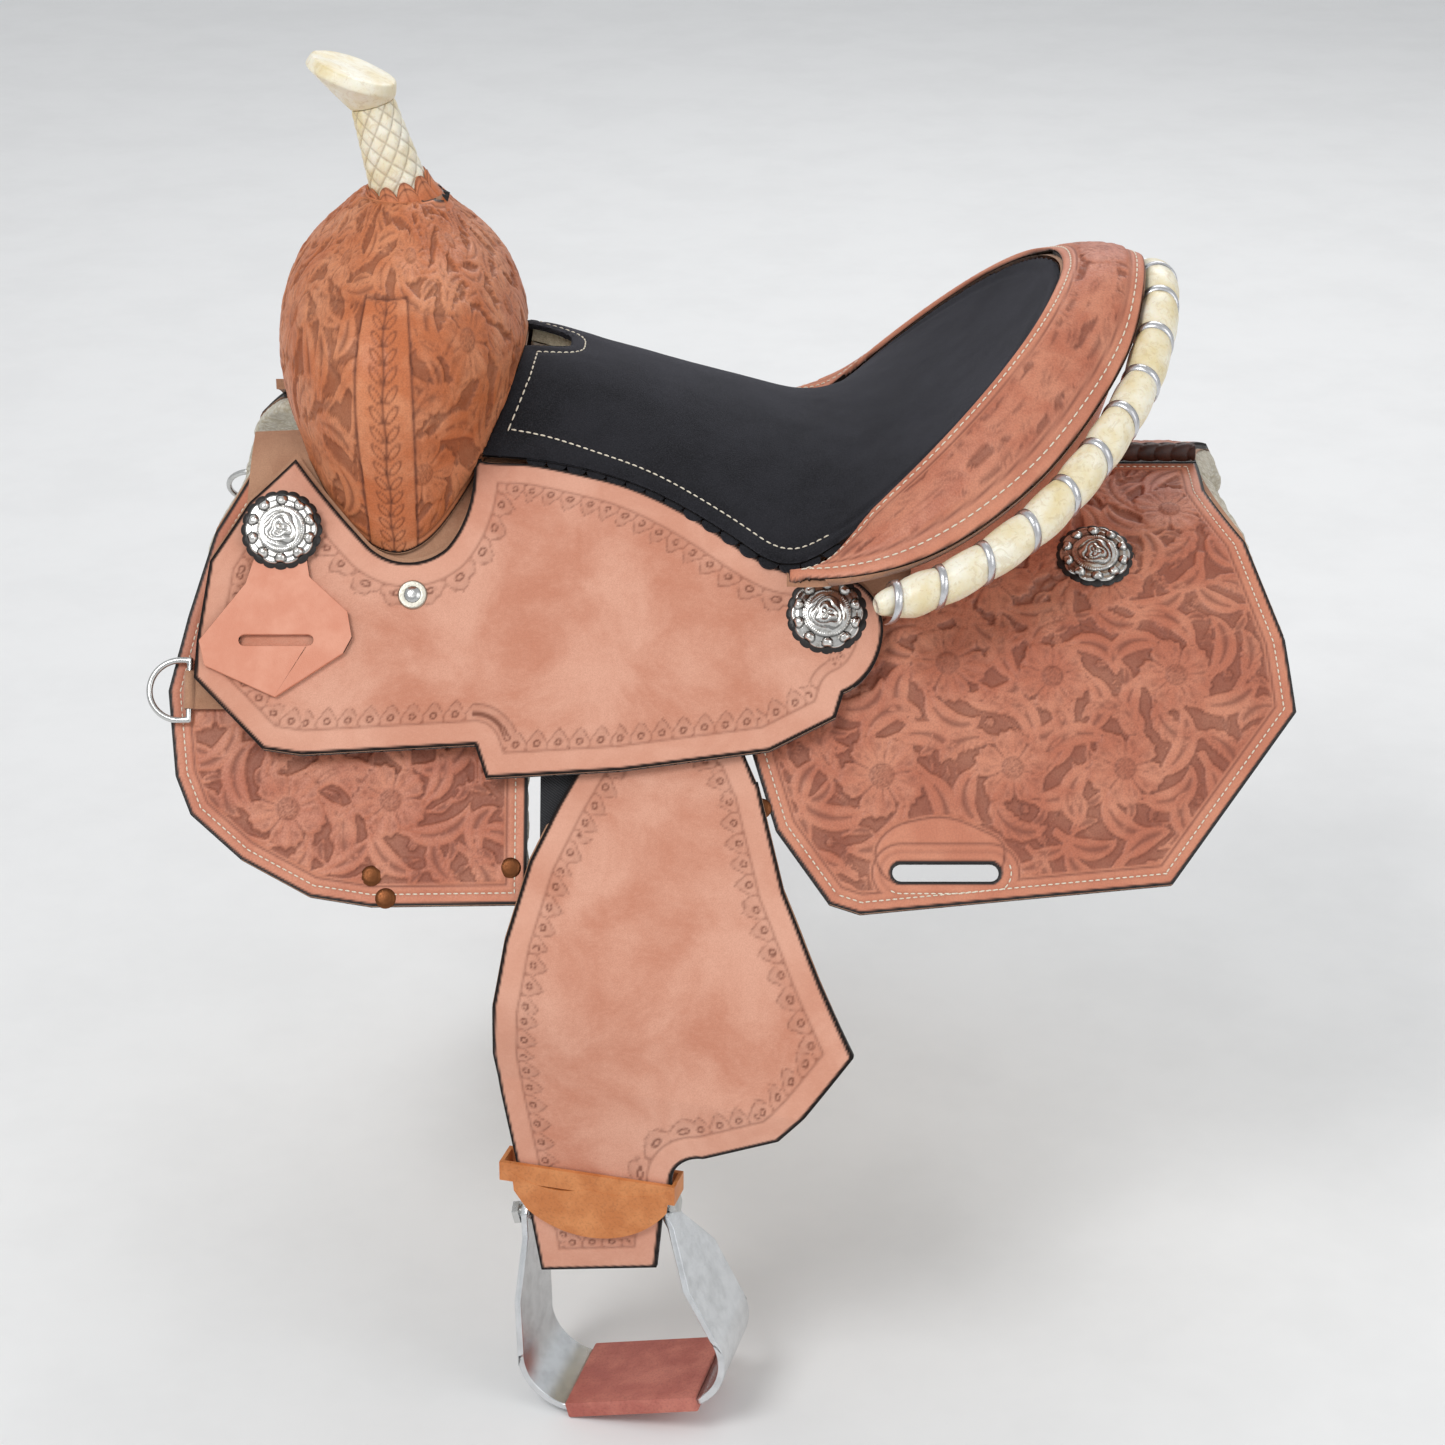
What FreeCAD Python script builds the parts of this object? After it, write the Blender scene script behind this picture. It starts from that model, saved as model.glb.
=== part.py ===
"""Western barrel saddle: a covered tree with horn, padded seat, leather panels, rigging and hanging stirrups.

Frame: millimetres, +Z up, the horse faces -X, the near (left) side is -Y. The origin is on the ridge line of
the lining's underside, midway along the skirts, where the saddle sits on a back or a rack.

Every panel lies on a drape: a round top whose radius may differ from panel to panel, then a straight flank
that is one common plane on each side, so that the fender and its strap swing between flat faces.
"""
import FreeCAD, Part
import math
import os

import Sketcher
from FreeCAD import Placement, Rotation, Vector

DIMENSIONS = [
    # drape that all the panels lie on
    ("flank_angle", 55), ("skirt_radius", 220), ("skirt_axis_z", -202), ("front_radius", 165),
    ("skirt_thick", 5), ("fleece_thick", 12), ("flank_length", 340), ("half_width", 330),
    # jockeys, fenders and straps, with their heights over the flank
    ("jockey_radius", 170), ("jockey_gap", 10), ("jockey_thick", 4.5), ("leather_thick", 4),
    ("fender_gap", 2), ("web_thick", 1.5), ("web_width", 42), ("keeper_gap", 15), ("keeper_thick", 3.5),
    # tree
    ("bar_thick", 22), ("tip_thick", 7), ("arch_radius", 80), ("arch_axis_z", 25), ("cover_thick", 4),
    ("liner_thick", 3), ("fork_x", -206), ("horn_lean", 15), ("horn_base_x", -204), ("horn_base_z", 196),
    ("post_radius", 9), ("neck_base_radius", 19), ("neck_top_radius", 14), ("neck_length", 62),
    ("flange_radius", 26), ("flange_thick", 4), ("horn_screw_radius", 2.5), ("horn_screw_length", 26),
    ("cap_tilt", 20), ("cap_half_length", 30), ("cap_half_width", 28), ("cap_thick", 7),
    # seat and cantle
    ("seat_cover_thick", 3), ("foam_thick", 11), ("strainer_thick", 3), ("roll_thick", 5),
    ("binding_radius", 12.4), ("lace_width", 5), ("lace_count", 21), ("cantle_back_thick", 3.5),
    # fastenings and hardware
    ("concho_radius", 23), ("concho_thick", 2.5), ("rosette_radius", 25.5), ("rosette_thick", 2.5),
    ("washer_radius", 9.5), ("washer_thick", 1.6), ("screw_head_radius", 5), ("rivet_radius", 6.5),
    ("dee_wire", 4), ("dee_height", 42), ("dee_reach", 27), ("ring_wire", 7), ("ring_width", 57),
    ("billet_slot", 66), ("billet_slot_high", 11), ("latigo_slot", 46), ("latigo_slot_high", 7),
    # stirrup and its leathers
    ("strap_width", 70), ("stirrup_yaw", 15), ("stirrup_roll", 14), ("stirrup_top", 93), ("stirrup_bottom", 137),
    ("stirrup_height", 132), ("stirrup_depth", 62), ("stirrup_wall", 4.5), ("bolt_radius", 5), ("bolt_depth", 14.5),
    ("tread_length", 96), ("tread_wrap", 3), ("inner_strap_width", 62), ("sleeve_height", 22), ("sleeve_travel", 18),
]

doc = FreeCAD.newDocument("western_saddle")
sheet = doc.addObject("Spreadsheet::Sheet", "Dims")
for row, (alias, value) in enumerate(DIMENSIONS, start=1):
    sheet.set(f"A{row}", alias)
    sheet.set(f"B{row}", str(value))
    sheet.setAlias(f"B{row}", alias)
doc.recompute()
D = {alias: float(getattr(sheet, alias)) for alias, _ in DIMENSIONS}
FLANK = math.radians(D["flank_angle"])
SIN, COS = math.sin(FLANK), math.cos(FLANK)
PLANE = D["skirt_radius"] + D["skirt_axis_z"] * COS  # the skirt's outer flank plane: y sin + z cos = PLANE
ALONG_X = Rotation(Vector(0, 0, 1), Vector(1, 0, 0))
NORMAL = Vector(0, -SIN, COS)  # outward from the near flank
DOWN = Vector(0, -COS, -SIN)  # down the near flank
SUBPARTS = []


# ---------------------------------------------------------------- document helpers
def bind(obj, **cells):
    """Ties an object's properties to cells of the sheet."""
    for prop, cell in cells.items():
        obj.setExpression(prop, cell)
    return obj


def feature(kind, name, **props):
    obj = doc.addObject(kind, name)
    for prop, value in props.items():
        setattr(obj, prop, value)
    return obj


def subpart(obj, label):
    """Names the object that is one physical piece."""
    obj.Label = label
    SUBPARTS.append(obj)
    return obj


def shape_part(name, shape, placement=None):
    obj = doc.addObject("Part::Feature", name)
    obj.Shape = shape
    if placement:
        obj.Placement = placement
    return obj


def cut(name, base, tool):
    return feature("Part::Cut", name, Base=base, Tool=tool)


def common(name, base, tool):
    return feature("Part::Common", name, Base=base, Tool=tool)


def fuse(name, *shapes):
    return feature("Part::MultiFuse", name, Shapes=list(shapes))


def mirrored(obj, label):
    """The same piece on the off (right) side."""
    return subpart(feature("Part::Mirroring", label, Source=obj, Normal=Vector(0, 1, 0)), label)


def both(obj, stem):
    """Keeps a near-side piece and makes its off-side twin."""
    subpart(obj, stem + "_left")
    return obj, mirrored(obj, stem + "_right")


def largest(name, obj):
    """A piece's main solid, without the crumbs a cut leaves."""
    doc.recompute()
    return shape_part(name, max(obj.Shape.Solids, key=lambda solid: solid.Volume))


def pair(obj, label):
    """A near-side piece and its off-side twin as one group of fixed pieces."""
    twin = feature("Part::Mirroring", label + "_off", Source=obj, Normal=Vector(0, 1, 0))
    return subpart(feature("Part::Compound", label + "_pair", Links=[obj, twin]), label)


def copy_of(obj, name):
    """A second user of a tool shape, since a boolean hides the one it takes."""
    return feature("Part::Compound", name, Links=[obj])


# ---------------------------------------------------------------- the drape
def axis_z(radius, height=0.0):
    """Height of the axis of a round top that runs into the flank plane lifted by height."""
    return (PLANE + height - radius) / COS


def top_z(y, radius, height=0.0):
    """Height of a drape's surface at distance y from the middle."""
    y = abs(y)
    if y > radius * SIN:
        return (PLANE + height - y * SIN) / COS
    return axis_z(radius, height) + math.sqrt(radius * radius - y * y)


def on_flank(x, down, height):
    """Point on the near flank: x along the saddle, down the slope from the round top, height over the skirt."""
    start = Vector(0, -D["skirt_radius"] * SIN, D["skirt_axis_z"] + D["skirt_radius"] * COS)
    return Vector(x, 0, 0) + start + DOWN * down + NORMAL * height


def flank_placement(x, down, height):
    """Local X stays along the saddle, local Y runs down the slope reversed, local Z points outward."""
    return Placement(on_flank(x, down, height), Rotation(Vector(1, 0, 0), DOWN * -1, NORMAL, "ZXY"))


def drape_blank(name, x_from, x_to, radius, height, thick):
    """A plate of one thickness over the whole near side: round top and flank. height is its outer face's."""
    outer, inner = radius, radius - thick
    z_axis = axis_z(radius, height)
    end = D["flank_length"]

    def pt(r, slope_run):
        return Vector(0, -r * SIN, z_axis + r * COS) + DOWN * slope_run

    def mid(r):
        return Vector(0, -r * math.sin(FLANK / 2), z_axis + r * math.cos(FLANK / 2))

    edges = [
        Part.Arc(Vector(0, 0, z_axis + outer), mid(outer), pt(outer, 0)).toShape(),
        Part.LineSegment(pt(outer, 0), pt(outer, end)).toShape(),
        Part.LineSegment(pt(outer, end), pt(inner, end)).toShape(),
        Part.LineSegment(pt(inner, end), pt(inner, 0)).toShape(),
        Part.Arc(pt(inner, 0), mid(inner), Vector(0, 0, z_axis + inner)).toShape(),
        Part.LineSegment(Vector(0, 0, z_axis + inner), Vector(0, 0, z_axis + outer)).toShape(),
    ]
    section = shape_part(name + "_section", Part.Wire(edges), Placement(Vector(x_from, 0, 0), Rotation()))
    return feature("Part::Extrusion", name, Base=section, Dir=Vector(1, 0, 0), DirMode="Custom",
                   LengthFwd=x_to - x_from, Solid=True)


def drape_core(name, x_from, x_to, radius, height):
    """Everything under a drape's surface on the near side."""
    return drape_blank(name, x_from, x_to, radius, height, radius - 1)


def outline_sketch(name, outline, placement):
    """A closed sketch. Each item is a point, or a (middle, end) pair for an arc to end."""
    sketch = feature("Sketcher::SketchObject", name, Placement=placement)
    start = last = Vector(*outline[0], 0)
    for item in outline[1:] + [outline[0]]:
        if isinstance(item[0], tuple):
            middle, end = (Vector(*p, 0) for p in item)
            sketch.addGeometry(Part.Arc(last, middle, end), False)
        else:
            end = Vector(*item, 0)
            if (end - last).Length < 1e-6:
                continue
            sketch.addGeometry(Part.LineSegment(last, end), False)
        last = end
    return sketch


def side_prism(name, outline, y_inner=-1.0, y_outer=None):
    """An (x, z) outline drawn from the near side and carried across it."""
    upright = Placement(Vector(0, y_inner, 0), Rotation(Vector(1, 0, 0), Vector(0, 0, 1), Vector(0, -1, 0), "ZXY"))
    prism = feature("Part::Extrusion", name, Base=outline_sketch(name + "_sketch", outline, upright),
                    Dir=Vector(0, -1, 0), DirMode="Custom", Solid=True)
    if y_outer is None:
        bind(prism, LengthFwd=f"Dims.half_width + {y_inner}")
    else:
        prism.LengthFwd = y_inner - y_outer
    return prism


def plate_on_flank(name, outline, x, down, height, thick_cell):
    """A flat plate with an outline in the flank's own plane, (along, up the slope)."""
    plate = feature("Part::Extrusion", name, Dir=NORMAL, DirMode="Custom", Solid=True,
                    Base=outline_sketch(name + "_sketch", outline, flank_placement(x, down, height)))
    return bind(plate, LengthFwd=thick_cell)


def slot_outline(length, high):
    """A round-ended slot about its centre."""
    half, r = length / 2 - high / 2, high / 2
    return [(-half, r), ((-half - r, 0), (-half, -r)), (half, -r), ((half + r, 0), (half, r))]


def grid_solid(name, outer, inner):
    """A closed solid between two grids of points, which have the same rows and columns."""
    faces, edge_rows = [], []
    for grid in (outer, inner):
        surface = Part.BSplineSurface()
        surface.interpolate(grid)
        faces.append(surface.toShape())
        u0, u1, v0, v1 = surface.bounds()
        edge_rows.append([surface.uIso(u0).toShape(), surface.uIso(u1).toShape(),
                          surface.vIso(v0).toShape(), surface.vIso(v1).toShape()])
    for a, b in zip(*edge_rows):
        faces.append(Part.makeRuledSurface(a, b))
    shell = Part.makeShell(faces)
    shell.sewShape()
    solid = Part.makeSolid(Part.Shell(shell.Faces))
    if solid.Volume < 0:
        solid.reverse()
    return shape_part(name, solid)


def interpolate(table, at):
    """Smooth reading of a short table of (place, value): Catmull-Rom through its points."""
    xs = [row[0] for row in table]
    k = max(0, min(len(xs) - 2, sum(at >= x for x in xs) - 1))
    x0, x1 = xs[k], xs[k + 1]
    t = max(0.0, min(1.0, (at - x0) / (x1 - x0)))
    y0, y1 = table[k][1], table[k + 1][1]

    def slope(i):
        a, b = max(0, i - 1), min(len(xs) - 1, i + 1)
        return (table[b][1] - table[a][1]) / (xs[b] - xs[a]) * (x1 - x0)

    t2, t3 = t * t, t * t * t
    return ((2 * t3 - 3 * t2 + 1) * y0 + (t3 - 2 * t2 + t) * slope(k)
            + (3 * t2 - 2 * t3) * y1 + (t3 - t2) * slope(k + 1))


# ---------------------------------------------------------------- skirts and lining
FRONT_SKIRT = [(-121, 70), (-121, -179), (-217, -180), (-255, -175), (-298, -156), (-330, -133), (-340, -113),
               (-346, -69), (-335, -30), (-320, 13), (-298, 42), (-272, 48), (-272, 70)]
REAR_SKIRT = [(-119, 40), (-119, -70), (0, -78), (18, -100), (33, -141), (66, -179), (85, -184), (278, -169),
              (358, -80), (353, -44), (334, -2), (314, 14), (314, 40)]
SLOT_X, SLOT_DOWN = 138, 106


def make_skirts():
    gullet = 45  # half the channel left open between the front skirts
    for stem, outline, radius, y_inner in (("front_skirt", FRONT_SKIRT, D["front_radius"], -gullet),
                                           ("rear_skirt", REAR_SKIRT, D["skirt_radius"], -1.0)):
        span = (min(p[0] for p in outline) - 1, max(p[0] for p in outline) + 1)
        leather = common(stem + "_cut", drape_blank(stem + "_blank", *span, radius, 0, D["skirt_thick"]),
                         side_prism(stem + "_outline", outline, y_inner))
        lining = common(stem + "_fleece_cut",
                        drape_blank(stem + "_fleece_blank", *span, radius - D["skirt_thick"],
                                    -D["skirt_thick"], D["fleece_thick"]),
                        side_prism(stem + "_fleece_outline", outline, y_inner))
        if stem == "rear_skirt":
            for tag, piece in (("leather", leather), ("lining", lining)):
                grow = 17 if tag == "lining" else 0
                slot = feature("Part::Extrusion", f"billet_slot_{tag}", Dir=NORMAL * -1, DirMode="Custom",
                               LengthFwd=40, Solid=True,
                               Base=outline_sketch(f"billet_slot_{tag}_sketch",
                                                   slot_outline(D["billet_slot"] + grow,
                                                                D["billet_slot_high"] + grow),
                                                   flank_placement(SLOT_X, SLOT_DOWN, 5)))
                cut_piece = cut(f"rear_{tag}_slotted", piece, slot)
                leather, lining = (cut_piece, lining) if tag == "leather" else (leather, cut_piece)
        both(leather, stem)
        both(lining, stem.replace("skirt", "fleece"))


def make_skirt_lacing():
    """The round plaited lace that joins the two rear skirts along the ridge behind the cantle."""
    lace = feature("Part::Cylinder", "lacing_roll", Radius=7,
                   Placement=Placement(Vector(246, 0, D["skirt_axis_z"] + D["skirt_radius"] + 7), ALONG_X))
    lace.Height = 66
    subpart(lace, "skirt_lacing")


# ---------------------------------------------------------------- tree
FORK_SECTIONS = [  # height, centre x, half thickness, half width over the cover
    (-6, -204, 50, 130), (25, -206, 64, 134), (60, -207, 70, 143), (100, -206, 79, 152), (135, -207, 75, 144),
    (165, -209, 60, 108), (188, -208, 38, 62), (201, -205, 27, 34)]


def fork_loft(name, inset):
    rings = []
    for k, (z, x, thick, width) in enumerate(FORK_SECTIONS):
        top = inset if k == len(FORK_SECTIONS) - 1 else 0
        ring = feature("Part::Ellipse", f"{name}_ring{k}", MajorRadius=width - inset, MinorRadius=thick - inset,
                       Placement=Placement(Vector(x, 0, z - top), Rotation(Vector(0, 0, 1), 90)))
        rings.append(ring)
    return feature("Part::Loft", name, Sections=rings, Solid=True, Ruled=False)


def arch_tool(name, radius):
    """The gullet's open arch, right through the fork."""
    round_top = bind(feature("Part::Cylinder", name + "_round", Radius=radius, Height=220,
                             Placement=Placement(Vector(-320, 0, D["arch_axis_z"]), ALONG_X)))
    below = feature("Part::Box", name + "_below", Length=220, Width=2 * radius, Height=90,
                    Placement=Placement(Vector(-320, -radius, D["arch_axis_z"] - 90), Rotation()))
    return fuse(name, round_top, below)


def bar_top_tool(name, x_from, x_to):
    """Both sides of everything under the front bar tips' upper face."""
    near = drape_core(name + "_near", x_from, x_to, D["front_radius"] + D["tip_thick"], D["tip_thick"])
    far = feature("Part::Mirroring", name + "_far", Source=near, Normal=Vector(0, 1, 0))
    return fuse(name, near, far)


def horn_axis(along):
    lean = math.radians(D["horn_lean"])
    return Vector(D["horn_base_x"] - along * math.sin(lean), 0, D["horn_base_z"] + along * math.cos(lean))


def horn_placement(along):
    return Placement(horn_axis(along), Rotation(Vector(0, 1, 0), -D["horn_lean"]))


def make_horn():
    post = bind(feature("Part::Cylinder", "post_stem", Placement=horn_placement(-3)),
                Radius="Dims.post_radius", Height="Dims.neck_length + 12")
    flange = bind(feature("Part::Cylinder", "post_flange", Placement=horn_placement(-6)),
                  Radius="Dims.flange_radius", Height="Dims.flange_thick")
    horn_post = subpart(fuse("horn_post_body", post, flange), "horn_post")
    screws = []
    for k in range(4):
        turn = math.radians(45 + 90 * k)
        spot = horn_placement(-6).multVec(Vector(18 * math.cos(turn), 18 * math.sin(turn), D["flange_thick"]))
        head = feature("Part::Cone", f"horn_screw_head{k}", Radius1=D["horn_screw_radius"], Radius2=5, Height=2.5,
                       Placement=Placement(spot, Rotation(Vector(0, 1, 0), -D["horn_lean"])))
        shank = bind(feature("Part::Cylinder", f"horn_screw_shank{k}",
                             Placement=Placement(spot, Rotation(Vector(0, 1, 0), 180 - D["horn_lean"]))),
                     Radius="Dims.horn_screw_radius", Height="Dims.horn_screw_length")
        screws.append(fuse(f"horn_screw{k}", head, shank))
    screw_group = feature("Part::Compound", "horn_screw_group", Links=screws)
    neck = bind(feature("Part::Cone", "neck_cone", Placement=horn_placement(2)),
                Radius1="Dims.neck_base_radius", Radius2="Dims.neck_top_radius", Height="Dims.neck_length")
    core = feature("Part::Cylinder", "neck_bore", Radius=D["post_radius"], Height=D["neck_length"] + 40,
                   Placement=horn_placement(-8))
    subpart(cut("horn_wrap_body", neck, core), "horn_wrap")
    return horn_post, screw_group


def make_horn_cap():
    """The rawhide-covered cap: a tilted oval plate that runs down into the neck."""
    tilt = Rotation(Vector(0, 1, 0), D["cap_tilt"])
    centre = horn_axis(D["neck_length"] + 2) + Vector(-12, 0, 20)
    neck_top = horn_axis(D["neck_length"] + 2.2)
    foot = feature("Part::Ellipse", "cap_foot", MajorRadius=D["neck_top_radius"] + 0.5,
                   MinorRadius=D["neck_top_radius"], Placement=Placement(neck_top, Rotation(Vector(0, 1, 0), -D["horn_lean"])))
    rim_low = bind(feature("Part::Ellipse", "cap_rim_low",
                           Placement=Placement(centre - tilt.multVec(Vector(0, 0, D["cap_thick"] / 2)), tilt)),
                   MajorRadius="Dims.cap_half_length", MinorRadius="Dims.cap_half_width")
    rim_high = feature("Part::Ellipse", "cap_rim_high", MajorRadius=D["cap_half_length"] - 2,
                       MinorRadius=D["cap_half_width"] - 2,
                       Placement=Placement(centre + tilt.multVec(Vector(0, 0, D["cap_thick"] / 2)), tilt))
    cap = feature("Part::Loft", "cap_loft", Sections=[foot, rim_low, rim_high], Solid=True, Ruled=True)
    bore = feature("Part::Cylinder", "cap_bore", Radius=D["post_radius"], Height=D["neck_length"] + 13,
                   Placement=horn_placement(-3))
    subpart(cut("horn_cap_body", cap, bore), "horn_cap")


def make_fork(horn_post, screw_group):
    outer = fork_loft("cover_loft", 0)
    inner = fork_loft("fork_core", D["cover_thick"])
    arch = arch_tool("arch", D["arch_radius"])
    arch_lined = arch_tool("arch_lined", D["arch_radius"] - D["liner_thick"])
    bars = bar_top_tool("bar_bed", -340, -90)
    tools = fuse("fork_tools", arch, bars, horn_post, screw_group,
                 feature("Part::Cylinder", "horn_socket", Radius=D["neck_base_radius"] + 0.2, Height=80,
                         Placement=horn_placement(1)))
    subpart(cut("fork_body", inner, tools), "fork")
    hollow = fuse("cover_hollow", inner, arch, bars,
                  feature("Part::Cylinder", "neck_hole", Radius=D["neck_base_radius"] + 0.2, Height=80,
                          Placement=horn_placement(-8)),
                  feature("Part::Cylinder", "flange_hole", Radius=D["flange_radius"] + 0.1, Height=7,
                          Placement=horn_placement(-6)))
    subpart(cut("fork_cover_body", outer, hollow), "fork_cover")
    liner = cut("liner_ring", common("liner_blank", outer, arch), fuse("liner_tools", arch_lined, bars))
    subpart(liner, "gullet_liner")
    return outer


BAR_PLAN = [(-300, -52), (-300, -130), (-240, -146), (40, -146), (82, -131), (130, -122), (170, -101), (200, -70),
            (212, -42), (-60, -40), (-240, -48)]
BAR_SPLIT = -119.5


def make_bars(seat_stack):
    plan = feature("Part::Extrusion", "bar_plan", Dir=Vector(0, 0, 1), DirMode="Custom", LengthFwd=300, Solid=True,
                   Base=outline_sketch("bar_plan_sketch", BAR_PLAN, Placement(Vector(0, 0, -150), Rotation())))
    skirt_r, front_r, thick = D["skirt_radius"], D["front_radius"], D["bar_thick"]
    tip = drape_blank("bar_tip", -301, -60, front_r + D["tip_thick"], D["tip_thick"], D["tip_thick"] - 0.1)
    rail = drape_blank("bar_rail", BAR_SPLIT, 263, skirt_r + thick, thick, thick - 0.1)
    block = cut("bar_block", drape_core("bar_block_top", BAR_SPLIT, -60, front_r + D["tip_thick"], D["tip_thick"]),
                drape_core("bar_block_under", -400, 400, skirt_r + 0.1, 0.1))
    under_seat_leather = drape_core("bar_limit", -400, 400, D["jockey_radius"] - 6, D["jockey_gap"] - 6)
    bar = common("bar_trim", common("bar_shape", fuse("bar_sum", tip, rail, block), plan), under_seat_leather)
    both(cut("bar_body", bar, seat_stack), "bar")


# ---------------------------------------------------------------- seat
SEAT_HALF_WIDTH = [(-160, 89), (-119, 92), (-79, 100), (-40, 112), (-2, 129), (39, 146), (75, 140)]
SEAT_EDGE_Z = [(-160, 55), (-119, 53), (-79, 48), (-40, 38), (-2, 22), (39, 4), (75, 17)]
SEAT_MIDDLE_Z = [(-160, 108), (-120, 107), (-80, 97), (-15, 75), (25, 63), (61, 54), (100, 61), (150, 86),
                 (180, 112), (216, 152)]
RIM_CENTRE_X, RIM_LONG, RIM_WIDE, RIM_LOW_Z, RIM_RISE = 75, 141, 140, 17, 135


def rim_point(turn):
    """Inner rim of the cantle. turn is 0 at its back and grows towards the near side, in degrees."""
    a = math.radians(turn)
    return Vector(RIM_CENTRE_X + RIM_LONG * math.cos(a), -RIM_WIDE * math.sin(a), RIM_LOW_Z + RIM_RISE * math.cos(a))


def seat_z(x, y):
    """Height of the seat's top."""
    middle = interpolate(SEAT_MIDDLE_Z, x)
    if x <= RIM_CENTRE_X:
        width, edge = interpolate(SEAT_HALF_WIDTH, x), interpolate(SEAT_EDGE_Z, x)
    else:
        c = min(0.9999, (x - RIM_CENTRE_X) / RIM_LONG)
        width, edge = RIM_WIDE * math.sqrt(1 - c * c), RIM_LOW_Z + RIM_RISE * c
    power = 2.2 + 1.3 * max(0.0, min(1.0, (-80 - x) / 70))
    return middle + (edge - middle) * min(1.25, abs(y) / width) ** power


def seat_plan(u, v):
    """Plan of the seat: u from the near side (-1) to the off side (1), v from the fork (0) to the cantle (1)."""
    turn_back = 40.0

    def side(sign, t):
        straight = 0.62  # share of the side that runs beside the jockey; the rest follows the rim
        if t <= straight:
            x = -152 + (RIM_CENTRE_X + 152) * t / straight
            return Vector(x, sign * interpolate(SEAT_HALF_WIDTH, x), 0)
        p = rim_point(90 - (90 - turn_back) * (t - straight) / (1 - straight))
        return Vector(p.x, -sign * p.y, 0)

    def front(s):
        return Vector(-152 + 54 * math.exp(-(s / 0.27) ** 4), s * interpolate(SEAT_HALF_WIDTH, -152), 0)

    def rear(s):
        p = rim_point(-turn_back * s)
        return Vector(p.x, p.y, 0)

    w = (u + 1) / 2
    corners = (front(-1) * (1 - w) + front(1) * w) * (1 - v) + (rear(-1) * (1 - w) + rear(1) * w) * v
    return side(-1, v) * (1 - w) + side(1, v) * w + front(u) * (1 - v) + rear(u) * v - corners


def seat_point(u, v, depth):
    """A point depth under the seat's top, measured square to it."""
    p = seat_plan(u, v)
    e = 0.5
    dx = (seat_z(p.x + e, p.y) - seat_z(p.x - e, p.y)) / (2 * e)
    dy = (seat_z(p.x, p.y + e) - seat_z(p.x, p.y - e)) / (2 * e)
    n = Vector(-dx, -dy, 1).normalize()
    return Vector(p.x, p.y, seat_z(p.x, p.y)) - n * depth


def seat_layer(name, depth_top, depth_low, across=1.0, v_from=0.0, v_to=1.0):
    columns, rows = 17, 21

    def grid(depth):
        return [[seat_point(across * (2 * i / (columns - 1) - 1), v_from + (v_to - v_from) * j / (rows - 1), depth)
                 for i in range(columns)] for j in range(rows)]

    return grid_solid(name, grid(depth_top), grid(depth_low))


def make_seat(fork_volume):
    t1, t2, t3 = D["seat_cover_thick"], D["foam_thick"], D["strainer_thick"]
    subpart(cut("seat_cover_body", seat_layer("seat_cover_layer", 0, t1), fork_volume), "seat_cover")
    subpart(seat_layer("seat_foam_layer", t1 + 1, t1 + t2 - 0.6, 0.86, 0.07, 0.96), "seat_foam")
    subpart(seat_layer("strainer_layer", t1 + t2 + 0.3, t1 + t2 + t3 + 0.3, 0.8, 0.07, 0.94), "ground_seat")
    return seat_layer("seat_stack", -2, t1 + t2 + t3 + 1)


# ---------------------------------------------------------------- jockeys
JOCKEY = [(-158, 66), (-157, 52), ((-160, 30), (-173, 11)), ((-195, 4), (-221, 12)), (-247, 34), (-270, 53),
          (-297, 34), (-320, 5), (-327, -37), (-328, -56), (-284, -93), (-260, -96), (-153, -91), (-146, -108),
          (-63, -104), (29, -94), (70, -77), (75, -64), ((97, -44), (100, -32)), ((92, -12), (70, -4)),
          (52, 12), (39, 22), (-2, 38), (-40, 52), (-79, 60), (-119, 64)]


def make_jockeys(fork_volume, seat_and_above):
    height = D["jockey_gap"] + D["jockey_thick"]
    blank = drape_blank("jockey_blank", -331, 102, D["jockey_radius"] + D["jockey_thick"], height, D["jockey_thick"])
    panel = common("jockey_panel", blank, side_prism("jockey_outline", JOCKEY, -60))
    trimmed = cut("jockey_trimmed", panel, fuse("jockey_tools", fork_volume, seat_and_above))
    both(largest("jockey_body", trimmed), "seat_jockey")


# ---------------------------------------------------------------- cantle
ROLL_OUTER = [  # turn from the back, x, y, z of the facing's outer edge on the near side
    (0, 272, 0, 158), (13, 267, -43, 145), (24, 256, -76, 121), (38, 232, -114, 94), (53, 199, -147, 64),
    (66, 161, -169, 39), (77, 127, -180, 23), (87, 95, -184, 14), (97, 62, -180, 8), (105, 40, -168, 4)]


def roll_outer(turn):
    rows = [(-t, x, -y, z) for t, x, y, z in ROLL_OUTER[:0:-1]] + ROLL_OUTER
    return Vector(*(interpolate([(r[0], r[k]) for r in rows], turn) for k in (1, 2, 3)))


def roll_inner(turn):
    """The facing's inner edge: it sits on the seat's rim and closes to a point at each end."""
    a = math.radians(turn)
    p = rim_point(turn) + Vector(math.cos(a), -math.sin(a), 0) * 1.5
    p.z += D["roll_thick"] + 1.0
    close = max(0.0, (abs(turn) - 80) / 25) ** 2
    return p + (roll_outer(turn) - p) * min(0.86, close)


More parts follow.
